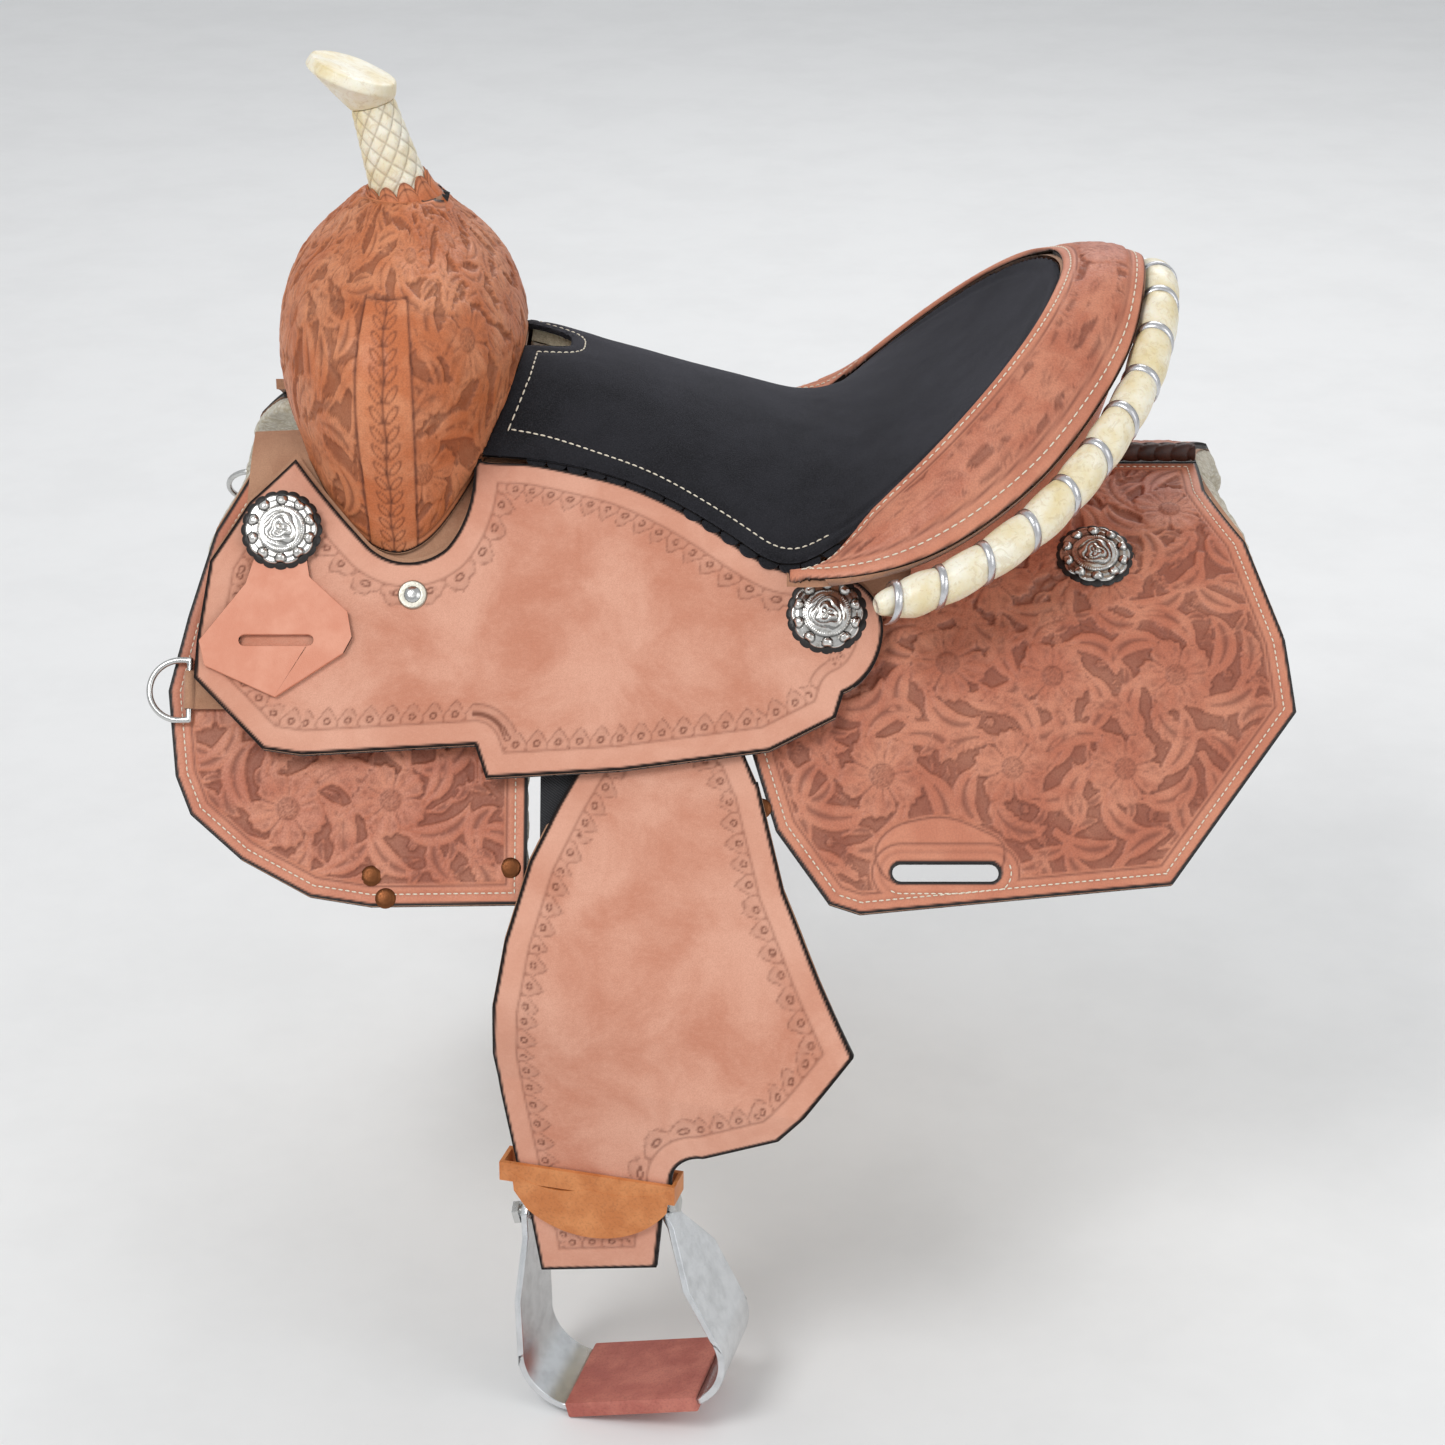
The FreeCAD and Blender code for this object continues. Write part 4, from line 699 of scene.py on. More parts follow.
# ---------------------------------------------------------------- thread
def stitches(name, panel, body, offset, pitch, length, radius, material, lift_up=0.1, skip=None, height=0.0):
    """A row of thread stitches that follows a panel's edge."""
    groups = []
    q, u = panel.edge, panel.along
    order = np.argsort(u)
    q, u = q[order], u[order]
    gap = np.diff(u)
    cuts = np.nonzero((gap > 2.0) | (np.linalg.norm(np.diff(q, axis=0), axis=1) > 3.0))[0] + 1
    for run in np.split(np.arange(len(q)), cuts):
        if len(run) < 40:
            continue
        p = q[run]
        way = np.roll(p, -4, axis=0) - np.roll(p, 4, axis=0)
        way[:4], way[-4:] = way[4], way[-5]
        way /= np.maximum(np.linalg.norm(way, axis=1, keepdims=True), 1e-9)
        side = np.column_stack([-way[:, 1], way[:, 0]])
        probe = p[::25] + side[::25] * 3
        if panel_inside_share(panel, probe) < 0.5:
            side = -side
        inner = p + side * offset
        dist = np.array([panel.tree.find((x, y, 0))[2] for x, y in inner])
        ok = dist > offset - 0.35
        inner = inner[ok]
        if len(inner) < 20:
            continue
        seg = np.linalg.norm(np.diff(inner, axis=0), axis=1)
        along = np.concatenate([[0], np.cumsum(seg)])
        at = np.arange(pitch, along[-1] - pitch, pitch)
        c = np.column_stack([np.interp(at, along, inner[:, k]) for k in range(2)])
        w = np.column_stack([np.interp(at + 1.2, along, inner[:, k]) - np.interp(at - 1.2, along, inner[:, k])
                             for k in range(2)])
        size = np.linalg.norm(w, axis=1, keepdims=True)
        groups.append(np.hstack([c, w / np.maximum(size, 1e-9)])[size[:, 0] > 1.2])
    rows = np.vstack(groups)
    if skip is not None:
        rows = rows[~skip(rows[:, :2])]
    c, w = rows[:, :2], rows[:, 2:]
    _, n = panel.surface.lift(c)
    a, _ = panel.surface.lift(c - w * length * 0.5)
    b, _ = panel.surface.lift(c + w * length * 0.5)
    return thread_object(name, a, b, n, radius, material, body, lift_up + height)


def panel_inside_share(panel, pts):
    tree = KDTree(len(panel.q))
    for k, (x, y) in enumerate(panel.q):
        tree.insert((x, y, 0), k)
    tree.balance()
    return np.mean([tree.find((x, y, 0))[2] < 2.0 for x, y in pts])


def thread_object(name, a, b, n, radius, material, body, lift_up=0.1):
    """Short rounded stitches from a to b that stand on the surface."""
    way = b - a
    way /= np.maximum(np.linalg.norm(way, axis=1, keepdims=True), 1e-9)
    side = np.cross(n, way)
    side /= np.maximum(np.linalg.norm(side, axis=1, keepdims=True), 1e-9)
    points, faces, sides = [], [], 6
    stations = ((0.0, 0.35, -0.35), (0.18, 0.9, 0.1), (0.5, 1.0, 0.3), (0.82, 0.9, 0.1), (1.0, 0.35, -0.35))
    count = len(a)
    for t, scale, up in stations:
        c = a + (b - a) * t + n * (radius * up + lift_up)
        for k in range(sides):
            ang = 2 * math.pi * k / sides
            points.append(c + (side * math.cos(ang) + n * math.sin(ang) * 0.8) * radius * scale)
    stack = np.stack(points, axis=1).reshape(-1, 3)
    per = len(stations) * sides
    base = np.arange(count)[:, None] * per
    quads = []
    for s in range(len(stations) - 1):
        for k in range(sides):
            k2 = (k + 1) % sides
            quads.append([s * sides + k, s * sides + k2, (s + 1) * sides + k2, (s + 1) * sides + k])
    quads = np.array(quads)[:, ::-1]
    faces = (base[:, :, None] + quads[None]).reshape(-1, 4)
    return make_object(name, stack, [faces], body, None, [material])


# ---------------------------------------------------------------- materials
def rgb(r, g, b):
    def linear(v):
        v /= 255
        return v / 12.92 if v <= 0.04045 else ((v + 0.055) / 1.055) ** 2.4
    return (linear(r), linear(g), linear(b), 1.0)


class Shader:
    """A Principled material with a few short node helpers. Texture places are in metres."""

    def __init__(self, name, **constants):
        self.mat = bpy.data.materials.new(name)
        self.mat.use_nodes = True
        self.tree = self.mat.node_tree
        self.tree.nodes.clear()
        self.out = self.tree.nodes.new("ShaderNodeOutputMaterial")
        self.bsdf = self.tree.nodes.new("ShaderNodeBsdfPrincipled")
        self.tree.links.new(self.bsdf.outputs[0], self.out.inputs[0])
        self.coords = self.tree.nodes.new("ShaderNodeTexCoord").outputs["Object"]
        for key, value in constants.items():
            self.bsdf.inputs[key.replace("_", " ").title().replace("Ior", "IOR")].default_value = value
        self.tone = None

    def put(self, socket, value):
        if hasattr(value, "links"):
            self.tree.links.new(value, socket)
        else:
            socket.default_value = value

    def set(self, name, value):
        self.put(self.bsdf.inputs[name], value)

    def noise(self, scale, detail=3.0, rough=0.55, stretch=None, distort=0.0):
        node = self.tree.nodes.new("ShaderNodeTexNoise")
        node.inputs["Scale"].default_value = scale
        node.inputs["Detail"].default_value = detail
        node.inputs["Roughness"].default_value = rough
        node.inputs["Distortion"].default_value = distort
        source = self.coords
        if stretch:
            place = self.tree.nodes.new("ShaderNodeMapping")
            place.inputs["Scale"].default_value = stretch
            self.tree.links.new(self.coords, place.inputs[0])
            source = place.outputs[0]
        self.tree.links.new(source, node.inputs["Vector"])
        return node.outputs["Fac"]

    def cells(self, scale, feature="F1", out="Distance"):
        node = self.tree.nodes.new("ShaderNodeTexVoronoi")
        node.feature = feature
        node.inputs["Scale"].default_value = scale
        self.tree.links.new(self.coords, node.inputs["Vector"])
        return node.outputs[out]

    def remap(self, value, a, b, c=0.0, d=1.0):
        node = self.tree.nodes.new("ShaderNodeMapRange")
        node.interpolation_type = "SMOOTHSTEP"
        self.put(node.inputs["Value"], value)
        for key, v in (("From Min", a), ("From Max", b), ("To Min", c), ("To Max", d)):
            node.inputs[key].default_value = v
        return node.outputs["Result"]

    def math(self, how, a, b=0.0):
        node = self.tree.nodes.new("ShaderNodeMath")
        node.operation = how
        self.put(node.inputs[0], a)
        self.put(node.inputs[1], b)
        return node.outputs[0]

    def mix(self, fac, a, b):
        node = self.tree.nodes.new("ShaderNodeMix")
        node.data_type = "RGBA"
        self.put(node.inputs[0], fac)
        self.put(node.inputs[6], a)
        self.put(node.inputs[7], b)
        return node.outputs[2]

    def part(self, letter):
        if self.tone is None:
            node = self.tree.nodes.new("ShaderNodeAttribute")
            node.attribute_name = "tone"
            self.tone = self.tree.nodes.new("ShaderNodeSeparateColor")
            self.tree.links.new(node.outputs["Color"], self.tone.inputs[0])
        return self.tone.outputs["RGB".index(letter)]

    def bump(self, height, distance, strength=1.0):
        node = self.tree.nodes.new("ShaderNodeBump")
        node.inputs["Strength"].default_value = strength
        node.inputs["Distance"].default_value = distance
        self.put(node.inputs["Height"], height)
        self.tree.links.new(node.outputs[0], self.bsdf.inputs["Normal"])


def carved_leather(name, base, light, dark):
    s = Shader(name, specular_ior_level=0.42)
    mottle = s.remap(s.noise(28, 4, 0.6), 0.35, 0.68)
    fine = s.noise(900, 3, 0.6)
    colour = s.mix(mottle, base, light)
    colour = s.mix(s.math("MULTIPLY", s.remap(fine, 0.35, 0.7), 0.22), colour, dark)
    colour = s.mix(s.part("B"), colour, light)
    colour = s.mix(s.math("MULTIPLY", s.part("R"), 0.82), colour, dark)
    colour = s.mix(s.part("G"), colour, rgb(24, 19, 18))
    s.set("Base Color", colour)
    s.set("Roughness", s.remap(s.math("ADD", s.math("MULTIPLY", s.part("R"), 0.5), fine), 0.3, 1.1, 0.42, 0.66))
    s.bump(s.math("ADD", fine, s.math("MULTIPLY", s.cells(700), 0.5)), 0.0003, 0.55)
    return s.mat


def rough_leather(name, base, light, dark):
    s = Shader(name, specular_ior_level=0.2, sheen_weight=0.28, sheen_roughness=0.45)
    clouds = s.remap(s.noise(17, 5, 0.62, distort=0.4), 0.33, 0.7)
    nap = s.noise(1500, 4, 0.75)
    drag = s.noise(260, 3, 0.6, stretch=(1.0, 0.45, 2.4))
    colour = s.mix(clouds, base, light)
    colour = s.mix(s.math("MULTIPLY", s.remap(nap, 0.36, 0.66), 0.3), colour, dark)
    colour = s.mix(s.math("MULTIPLY", s.remap(drag, 0.45, 0.75), 0.2), colour, light)
    colour = s.mix(s.math("MULTIPLY", s.part("B"), 0.45), colour, light)
    colour = s.mix(s.math("MULTIPLY", s.part("R"), 0.8), colour, rgb(104, 56, 40))
    colour = s.mix(s.part("G"), colour, rgb(30, 22, 20))
    s.set("Base Color", colour)
    s.set("Roughness", s.remap(nap, 0.2, 0.8, 0.82, 0.96))
    s.bump(s.math("ADD", nap, s.math("MULTIPLY", drag, 0.4)), 0.00045, 0.7)
    return s.mat


def strap_leather(name, base, light, edge, rough=0.42):
    s = Shader(name, specular_ior_level=0.45)
    mottle = s.noise(45, 4, 0.6)
    grain = s.cells(1100)
    colour = s.mix(s.remap(mottle, 0.35, 0.7), base, light)
    colour = s.mix(s.math("MULTIPLY", s.remap(s.noise(600, 2), 0.45, 0.75), 0.25), colour, edge)
    s.set("Base Color", colour)
    s.set("Roughness", s.remap(mottle, 0.3, 0.7, rough - 0.06, rough + 0.12))
    s.bump(s.math("ADD", grain, s.noise(700, 3)), 0.0002, 0.5)
    return s.mat


def black_suede():
    s = Shader("black_suede", specular_ior_level=0.12, sheen_weight=0.5, sheen_roughness=0.5)
    s.bsdf.inputs["Sheen Tint"].default_value = rgb(120, 120, 130)
    clouds = s.remap(s.noise(22, 5, 0.65), 0.35, 0.7)
    nap = s.noise(1300, 4, 0.8)
    colour = s.mix(clouds, rgb(20, 20, 22), rgb(36, 36, 40))
    s.set("Base Color", s.mix(s.remap(nap, 0.4, 0.7), colour, rgb(50, 50, 54)))
    s.set("Roughness", s.remap(nap, 0.2, 0.8, 0.86, 0.98))
    s.bump(nap, 0.0006, 0.7)
    return s.mat


def fleece_wool():
    s = Shader("fleece_wool", specular_ior_level=0.1, sheen_weight=0.6, sheen_roughness=0.6)
    curls = s.cells(320)
    fibre = s.noise(1600, 4, 0.8)
    tufts = s.noise(150, 4, 0.7, distort=1.5)
    colour = s.mix(s.remap(curls, 0.0, 0.8), rgb(244, 238, 220), rgb(196, 182, 152))
    colour = s.mix(s.math("MULTIPLY", s.remap(tufts, 0.4, 0.7), 0.5), colour, rgb(226, 214, 186))
    s.set("Base Color", colour)
    s.set("Roughness", 0.95)
    s.bump(s.math("ADD", s.math("ADD", curls, tufts), s.math("MULTIPLY", fibre, 0.6)), 0.0022, 0.9)
    return s.mat


def rawhide():
    s = Shader("rawhide", specular_ior_level=0.5, subsurface_weight=0.06)
    s.bsdf.inputs["Subsurface Radius"].default_value = (0.004, 0.002, 0.001)
    clouds = s.remap(s.noise(38, 5, 0.6), 0.3, 0.72)
    veins = s.remap(s.noise(120, 4, 0.7, distort=2.0), 0.52, 0.6)
    colour = s.mix(clouds, rgb(246, 242, 226), rgb(226, 208, 160))
    colour = s.mix(s.math("MULTIPLY", veins, 0.22), colour, rgb(180, 148, 96))
    s.set("Base Color", s.mix(s.part("R"), colour, rgb(120, 90, 56)))
    s.set("Roughness", s.remap(clouds, 0, 1, 0.28, 0.42))
    s.bump(s.noise(350, 4, 0.6), 0.0004, 0.4)
    return s.mat


def metal(name, colour, rough, scratch=0.0002, brush=None):
    s = Shader(name, metallic=1.0)
    wear = s.noise(90, 4, 0.65)
    lines = s.noise(700, 3, 0.6, stretch=brush) if brush else s.noise(900, 2, 0.5)
    s.set("Base Color", s.mix(s.remap(wear, 0.35, 0.75), colour, tuple(0.82 * c for c in colour[:3]) + (1.0,)))
    s.set("Roughness", s.remap(s.math("ADD", wear, s.math("MULTIPLY", lines, 0.5)), 0.4, 1.1, rough * 0.75, rough * 1.35))
    s.bump(lines, scratch, 0.35)
    return s.mat


def engraved_silver():
    s = Shader("engraved_silver", metallic=1.0)
    tarnish = s.noise(260, 4, 0.65)
    colour = s.mix(s.remap(tarnish, 0.45, 0.75), rgb(232, 230, 226), rgb(172, 168, 160))
    s.set("Base Color", s.mix(s.part("R"), colour, rgb(48, 44, 42)))
    s.set("Roughness", s.remap(tarnish, 0.3, 0.8, 0.14, 0.32))
    s.bump(s.noise(1100, 2), 0.00015, 0.35)
    return s.mat


def thread(name, colour, dark):
    s = Shader(name, specular_ior_level=0.3, sheen_weight=0.2)
    twist = s.noise(2600, 2, 0.6)
    s.set("Base Color", s.mix(s.remap(twist, 0.4, 0.7), colour, dark))
    s.set("Roughness", s.remap(s.noise(500), 0.3, 0.7, 0.6, 0.8))
    s.bump(twist, 0.0002, 0.8)
    return s.mat


def plain(name, a, b, rough, scale=300.0, bump=0.0003, **constants):
    """A two-tone material with grain, for the tree shell, the foam and the floor."""
    s = Shader(name, **constants)
    grain = s.noise(scale, 4, 0.65)
    s.set("Base Color", s.mix(s.remap(grain, 0.35, 0.7), a, b))
    s.set("Roughness", s.remap(grain, 0.3, 0.7, rough * 0.9, min(1.0, rough * 1.1)))
    s.bump(s.math("ADD", grain, s.cells(scale * 2)), bump, 0.6)
    return s.mat


def lined_web():
    s = Shader("nylon_web", specular_ior_level=0.4, sheen_weight=0.15)
    wave = s.tree.nodes.new("ShaderNodeTexWave")
    wave.inputs["Scale"].default_value = 260
    wave.bands_direction = "DIAGONAL"
    s.tree.links.new(s.coords, wave.inputs["Vector"])
    s.set("Base Color", s.mix(wave.outputs["Fac"], rgb(16, 16, 18), rgb(44, 44, 48)))
    s.set("Roughness", s.remap(s.noise(700), 0.3, 0.7, 0.55, 0.75))
    s.bump(s.math("ADD", wave.outputs["Fac"], s.noise(900)), 0.0005, 0.7)
    return s.mat


CARVED = carved_leather("carved_leather", rgb(190, 112, 84), rgb(214, 142, 112), rgb(78, 34, 28))
FORK_LEATHER = carved_leather("carved_leather_fork", rgb(198, 112, 66), rgb(222, 146, 104), rgb(84, 38, 24))
ROUGH = rough_leather("roughout_leather", rgb(206, 140, 114), rgb(229, 173, 149), rgb(164, 98, 74))
FLESH = rough_leather("leather_underside", rgb(176, 128, 100), rgb(202, 158, 128), rgb(120, 80, 60))
STRAP = strap_leather("strap_leather", rgb(196, 118, 62), rgb(216, 142, 86), rgb(120, 62, 30))
TREAD = strap_leather("tread_leather", rgb(176, 96, 84), rgb(200, 124, 108), rgb(110, 54, 44), 0.5)
SUEDE = black_suede()
BLACK = strap_leather("black_leather", rgb(22, 19, 18), rgb(38, 33, 31), rgb(8, 7, 7), 0.4)
WOOL = fleece_wool()
RAWHIDE = rawhide()
STEEL = metal("stainless_steel", rgb(206, 206, 204), 0.24)
ZINC = metal("zinc_plate", rgb(186, 182, 170), 0.34)
SILVER = engraved_silver()
LACE_SILVER = metal("silver_lace", rgb(214, 214, 216), 0.3, 0.0003)
ALUMINIUM = metal("polished_aluminium", rgb(226, 228, 230), 0.2, 0.0002, (1.0, 1.0, 9.0))
RIVET = metal("brown_rivet", rgb(120, 74, 46), 0.4)
DARK_LACE = strap_leather("dark_lace", rgb(52, 28, 20), rgb(78, 44, 32), rgb(20, 10, 8), 0.45)
THREAD = thread("waxed_thread", rgb(240, 232, 214), rgb(200, 184, 156))
WEB = lined_web()
TREE = plain("tree_shell", rgb(206, 190, 156), rgb(178, 156, 118), 0.5, 60, 0.0003)
FOAM = plain("seat_foam", rgb(214, 206, 180), rgb(188, 178, 150), 0.9, 500, 0.0008)


# ---------------------------------------------------------------- view and light
def make_stage():
    camera = bpy.data.objects.new("camera", bpy.data.cameras.new("camera"))
    bpy.context.scene.collection.objects.link(camera)
    camera.location = (0.0, -2.0, 0.76)
    camera.rotation_euler = (math.radians(65), 0, 0)
    camera.data.lens, camera.data.sensor_width = 79.97, 36.0
    camera.data.clip_end = 60
    bpy.context.scene.camera = camera
    grid, span = 60, 7.0
    i, j = np.meshgrid(np.linspace(-1, 1, grid), np.linspace(-1, 1, grid))
    points = np.column_stack([i.ravel() * span, j.ravel() * span, np.zeros(grid * grid)])
    corner = (np.arange(grid - 1)[:, None] * grid + np.arange(grid - 1)[None]).ravel()
    quads = np.column_stack([corner, corner + 1, corner + grid + 1, corner + grid])
    mesh = bpy.data.meshes.new("floor")
    mesh.from_pydata(points.tolist(), [], quads.tolist())
    mesh.materials.append(plain("pale_floor", rgb(238, 238, 238), rgb(234, 234, 234), 0.85, 6, 0.0))
    floor = bpy.data.objects.new("floor", mesh)
    floor.location.z = cad_box[0].z - 0.0005
    bpy.context.scene.collection.objects.link(floor)
    world = bpy.data.worlds.new("studio")
    world.use_nodes = True
    sky = world.node_tree.nodes["Background"]
    sky.inputs[0].default_value, sky.inputs[1].default_value = (0.96, 0.98, 1.0, 1), 0.62
    bpy.context.scene.world = world
    for name, place, aim, size, power in (
            ("key", (-1.5, -2.2, 2.6), (0, -0.1, -0.05), 1.5, 52),
            ("fill", (2.2, -1.8, 1.3), (0, -0.1, -0.1), 2.2, 17),
            ("back", (0.6, 2.4, 2.0), (0, 0, 0.05), 2.0, 26)):
        light = bpy.data.lights.new(name, "AREA")
        light.shape, light.size, light.energy = "DISK", size, power
        lamp = bpy.data.objects.new(name, light)
        lamp.location = place
        lamp.rotation_mode = "QUATERNION"
        lamp.rotation_quaternion = (Vector(aim) - Vector(place)).to_track_quat("-Z", "Y")
        bpy.context.scene.collection.objects.link(lamp)
    bpy.context.scene.view_settings.view_transform = "Standard"


make_stage()


# ---------------------------------------------------------------- skirts
def outer_faces(points, tris, surface, tol=1.0):
    _, off = surface.flat(points)
    n = face_normals(points, tris)
    middle = points[tris].mean(axis=1)
    _, way = surface.lift(surface.flat(middle)[0])
    facing = (n * way).sum(axis=1)
    flat = np.abs(off[tris]).max(axis=1) < tol
    return flat & (facing > 0.8), (facing < -0.5) & ~flat


def sheet_outline(nodes, surface, adjust=None):
    groups, under = [], []
    for node in nodes:
        points, tris = cad_mesh(node)
        outer, below = outer_faces(points, tris, surface)
        loops = outlines(points, tris, outer, surface)
        if adjust:
            loops = [adjust(node, k) for k in loops]
        groups.append(loops)
        under.append((points, tris[below]))
    return groups, under


def finish_pair(near, name, nodes, body):
    """Gives a near-side piece its off-side twin, and hides the CAD parts that both replace."""
    twin = mirror_object(near, name + "_right", body.replace("_left", "_right"))
    for obj, side in ((near, "left"), (twin, "right")):
        if nodes:
            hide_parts(*[n.replace("_left", "_" + side) for n in nodes])
    return twin


def polygon_distance(outline, q):
    """Distance outside a closed outline, negative inside."""
    loop = np.array(outline, float)
    p, _, _ = resample(loop, 1.0)
    tree = KDTree(len(p))
    for k, (x, y) in enumerate(p):
        tree.insert((x, y, 0), k)
    tree.balance()
    d = np.array([tree.find((x, y, 0))[2] for x, y in q])
    return np.where(points_inside([loop], q), -d, d)


def rounded(outline, radius, steps=6):
    """A polygon with its corners rounded."""
    p = np.array(outline, float)
    made = []
    for k in range(len(p)):
        a, b, c = p[k - 1], p[k], p[(k + 1) % len(p)]
        la, lc = np.linalg.norm(a - b), np.linalg.norm(c - b)
        r = min(radius, la / 2.1, lc / 2.1)
        s, e = b + (a - b) / la * r, b + (c - b) / lc * r
        for t in np.linspace(0, 1, steps):
            made.append((1 - t) ** 2 * s + 2 * t * (1 - t) * b + t * t * e)
    return np.array(made)


def make_skirt(name, node, radius, seed, spacing, smooth_part=None):
    surface = Drape(radius, 0)
    groups, under = sheet_outline([node], surface)
    panel = Panel(groups, surface, spacing * FINE)
    low, high = panel.q.min(axis=0), panel.q.max(axis=0)
    carving = Carving(low - 2, high + 2, seed)

    def room(spot):
        if not points_inside(groups[0][:1], np.array([spot]))[0]:
            return -1
        d = panel.tree.find((spot[0], spot[1], 0))[2]
        if smooth_part is not None:
            d = min(d, polygon_distance(smooth_part, np.array([spot]))[0])
        return d - 9

    carving.fill(room, 74, 26)
    ground = polygon_distance(smooth_part, panel.q) if smooth_part is not None else None
    height, tone = carved_finish(panel, panel.q, carving, 13.5, ground, 7.5)
    near = panel_object(name + "_left", panel, "tree_and_skirts", height, tone, 5.0, [CARVED, FLESH], under[0])
    finish_pair(near, name, [node], "tree_and_skirts")
    sew = stitches(name + "_thread_left", panel, "tree_and_skirts", 7.5, 4.2, 3.0, 0.5, THREAD, -0.25,
                   skip=(lambda q: polygon_distance(smooth_part, q) < 2) if smooth_part is not None else None)
    mirror_object(sew, name + "_thread_right", "tree_and_skirts")


def make_rough_panel(name, nodes, surface, body, thickness, spacing, groups=None, under=None, line=15.5,
                     shown=None):
    if groups is None:
        groups, under = sheet_outline(nodes, surface)
    panel = Panel(groups, surface, spacing * FINE)
    height, tone = stamped_finish(panel, line, shown=shown(panel) if shown else None)
    below = [u for u in under if len(u[1])]
    joined = None
    if below:
        start, points, tris = 0, [], []
        for p, t in below:
            points.append(p)
            tris.append(t + start)
            start += len(p)
        joined = (np.vstack(points), np.vstack(tris))
    near = panel_object(name + "_left", panel, body, height, tone, thickness, [ROUGH, FLESH], joined)
    return near, panel


REAR_SLOT_PLAIN = rounded([(91, 303), (104, 287), (138, 279), (178, 297), (173, 322), (100, 325)], 16)
make_skirt("rear_skirt", "rear_skirt_left", 220.0, 11, 1.15, REAR_SLOT_PLAIN)
make_skirt("front_skirt", "front_skirt_left", 165.0, 5, 1.1)

jockey, _ = make_rough_panel("seat_jockey", ["seat_jockey_left"], Drape(174.5, 14.5), "tree_and_skirts", 4.5,
                             1.15)
finish_pair(jockey, "seat_jockey", ["seat_jockey_left"], "tree_and_skirts")


def join_hinge(node, loop):
    """Runs the neck's end and the fender's top a little into each other."""
    loop = loop.copy()
    neck = node.startswith("fender_neck")
    top = np.abs(loop[:, 1] - LIFT_DOWN) < 1.0
    loop[top, 1] = LIFT_DOWN + (2.0 if neck else -2.0)
    if neck:
        loop[loop[:, 1] > LIFT_DOWN + 15] += (-0.9, 1.8)
    return loop


def make_fender():
    surface = FenderSheet(-2.0)
    groups, under = sheet_outline(["fender_neck_left", "fender_left"], surface, join_hinge)
    near, _ = make_rough_panel("fender_sheet", None, surface, None, 4.0, 1.2, groups, under)
    start, end = on_flank(SWING_X, LIFT_DOWN - 9, 4) * MM, on_flank(SWING_X, LIFT_DOWN + 9, 4) * MM
    twin = mirror_object(near, "fender_sheet_right", None)
    for obj, side, sign in ((near, "left", 1), (twin, "right", -1)):
        a, b = Vector(start), Vector(end)
        a.y, b.y = a.y * sign, b.y * sign
        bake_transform(obj)
        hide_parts("fender_" + side, "fender_neck_" + side)


make_fender()


# ---------------------------------------------------------------- carried-over parts
def bevelled(node, material, width=0.6, segments=2):
    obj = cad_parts[node]
    obj.data.materials.clear()
    obj.data.materials.append(material)
    if width:
        weld = obj.modifiers.new("weld", "WELD")
        weld.merge_threshold = 0.00002
        edge = obj.modifiers.new("edge", "BEVEL")
        edge.width, edge.segments, edge.limit_method = width * MM, segments, "ANGLE"
        edge.angle_limit = math.radians(38)
        even = obj.modifiers.new("even", "WEIGHTED_NORMAL")
        even.keep_sharp = True
    for p in obj.data.polygons:
        p.use_smooth = True
    return obj


def edge_coloured(name, base, light):
    """Smooth leather whose cut edges are burnished black."""
    s = Shader(name, specular_ior_level=0.4)
    mottle = s.remap(s.noise(40, 4, 0.6), 0.35, 0.7)
    near = s.tree.nodes.new("ShaderNodeNewGeometry")
    facing = s.tree.nodes.new("ShaderNodeVectorMath")
    facing.operation = "ABSOLUTE"
    s.tree.links.new(near.outputs["True Normal"], facing.inputs[0])
    parts = s.tree.nodes.new("ShaderNodeSeparateXYZ")
    s.tree.links.new(facing.outputs[0], parts.inputs[0])
    dot = s.math("ADD", s.math("MULTIPLY", parts.outputs[1], SIN), s.math("MULTIPLY", parts.outputs[2], COS))
    colour = s.mix(mottle, base, light)
    colour = s.mix(s.remap(dot, 0.55, 0.8), rgb(26, 20, 19), colour)
    s.set("Base Color", colour)
    s.set("Roughness", s.remap(mottle, 0, 1, 0.5, 0.62))
    s.bump(s.math("ADD", s.noise(900, 3), s.cells(1000)), 0.0002, 0.5)
    return s.mat


KEEPER = edge_coloured("keeper_leather", rgb(214, 140, 112), rgb(226, 160, 134))
PLAIN_NODES = {
    "fork": (TREE, 0), "cantle_board": (TREE, 0), "horn_post": (STEEL, 0), "horn_screws": (ZINC, 0),
    "gullet_liner": (FLESH, 0.5), "ground_seat": (ZINC, 0), "seat_foam": (FOAM, 0), "cantle_back": (CARVED, 0),
    "rigging_webs": (WEB, 0.4), "dee_clips": (FLESH, 0.5), "stirrup_leathers": (STRAP, 0.6),
    "jockey_washers": (ZINC, 0.3), "jockey_screws": (STEEL, 0.25), "rigging_rivets": (RIVET, 0.3),
}
SIDE_NODES = {
    "bar": (FLESH, 0), "hobble_strap": (STRAP, 0.7), "inner_strap": (ROUGH, 0.6), "buckle_plate": (STEEL, 0.3),
    "buckle_sleeve": (STEEL, 0.5), "stirrup_frame": (ALUMINIUM, 1.0), "stirrup_bolt": (STEEL, 0.4),
    "tread_cover": (TREAD, 1.0), "breast_dee": (STEEL, 0.8), "rigging_dee": (STEEL, 1.2),
    "latigo_keeper": (KEEPER, 0.7),
}
for node, (material, width) in PLAIN_NODES.items():
    bevelled(node, material, width)
for node, (material, width) in SIDE_NODES.items():
    for side, _ in SIDES:
        bevelled(node + "_" + side, material, width)


# ---------------------------------------------------------------- fork cover
FORK_X, FORK_HALF, FORK_WIDE, FORK_Z0, FORK_HIGH, FORK_SCALE = -206.0, 72.0, 142.0, 25.0, 150.0, 165.0


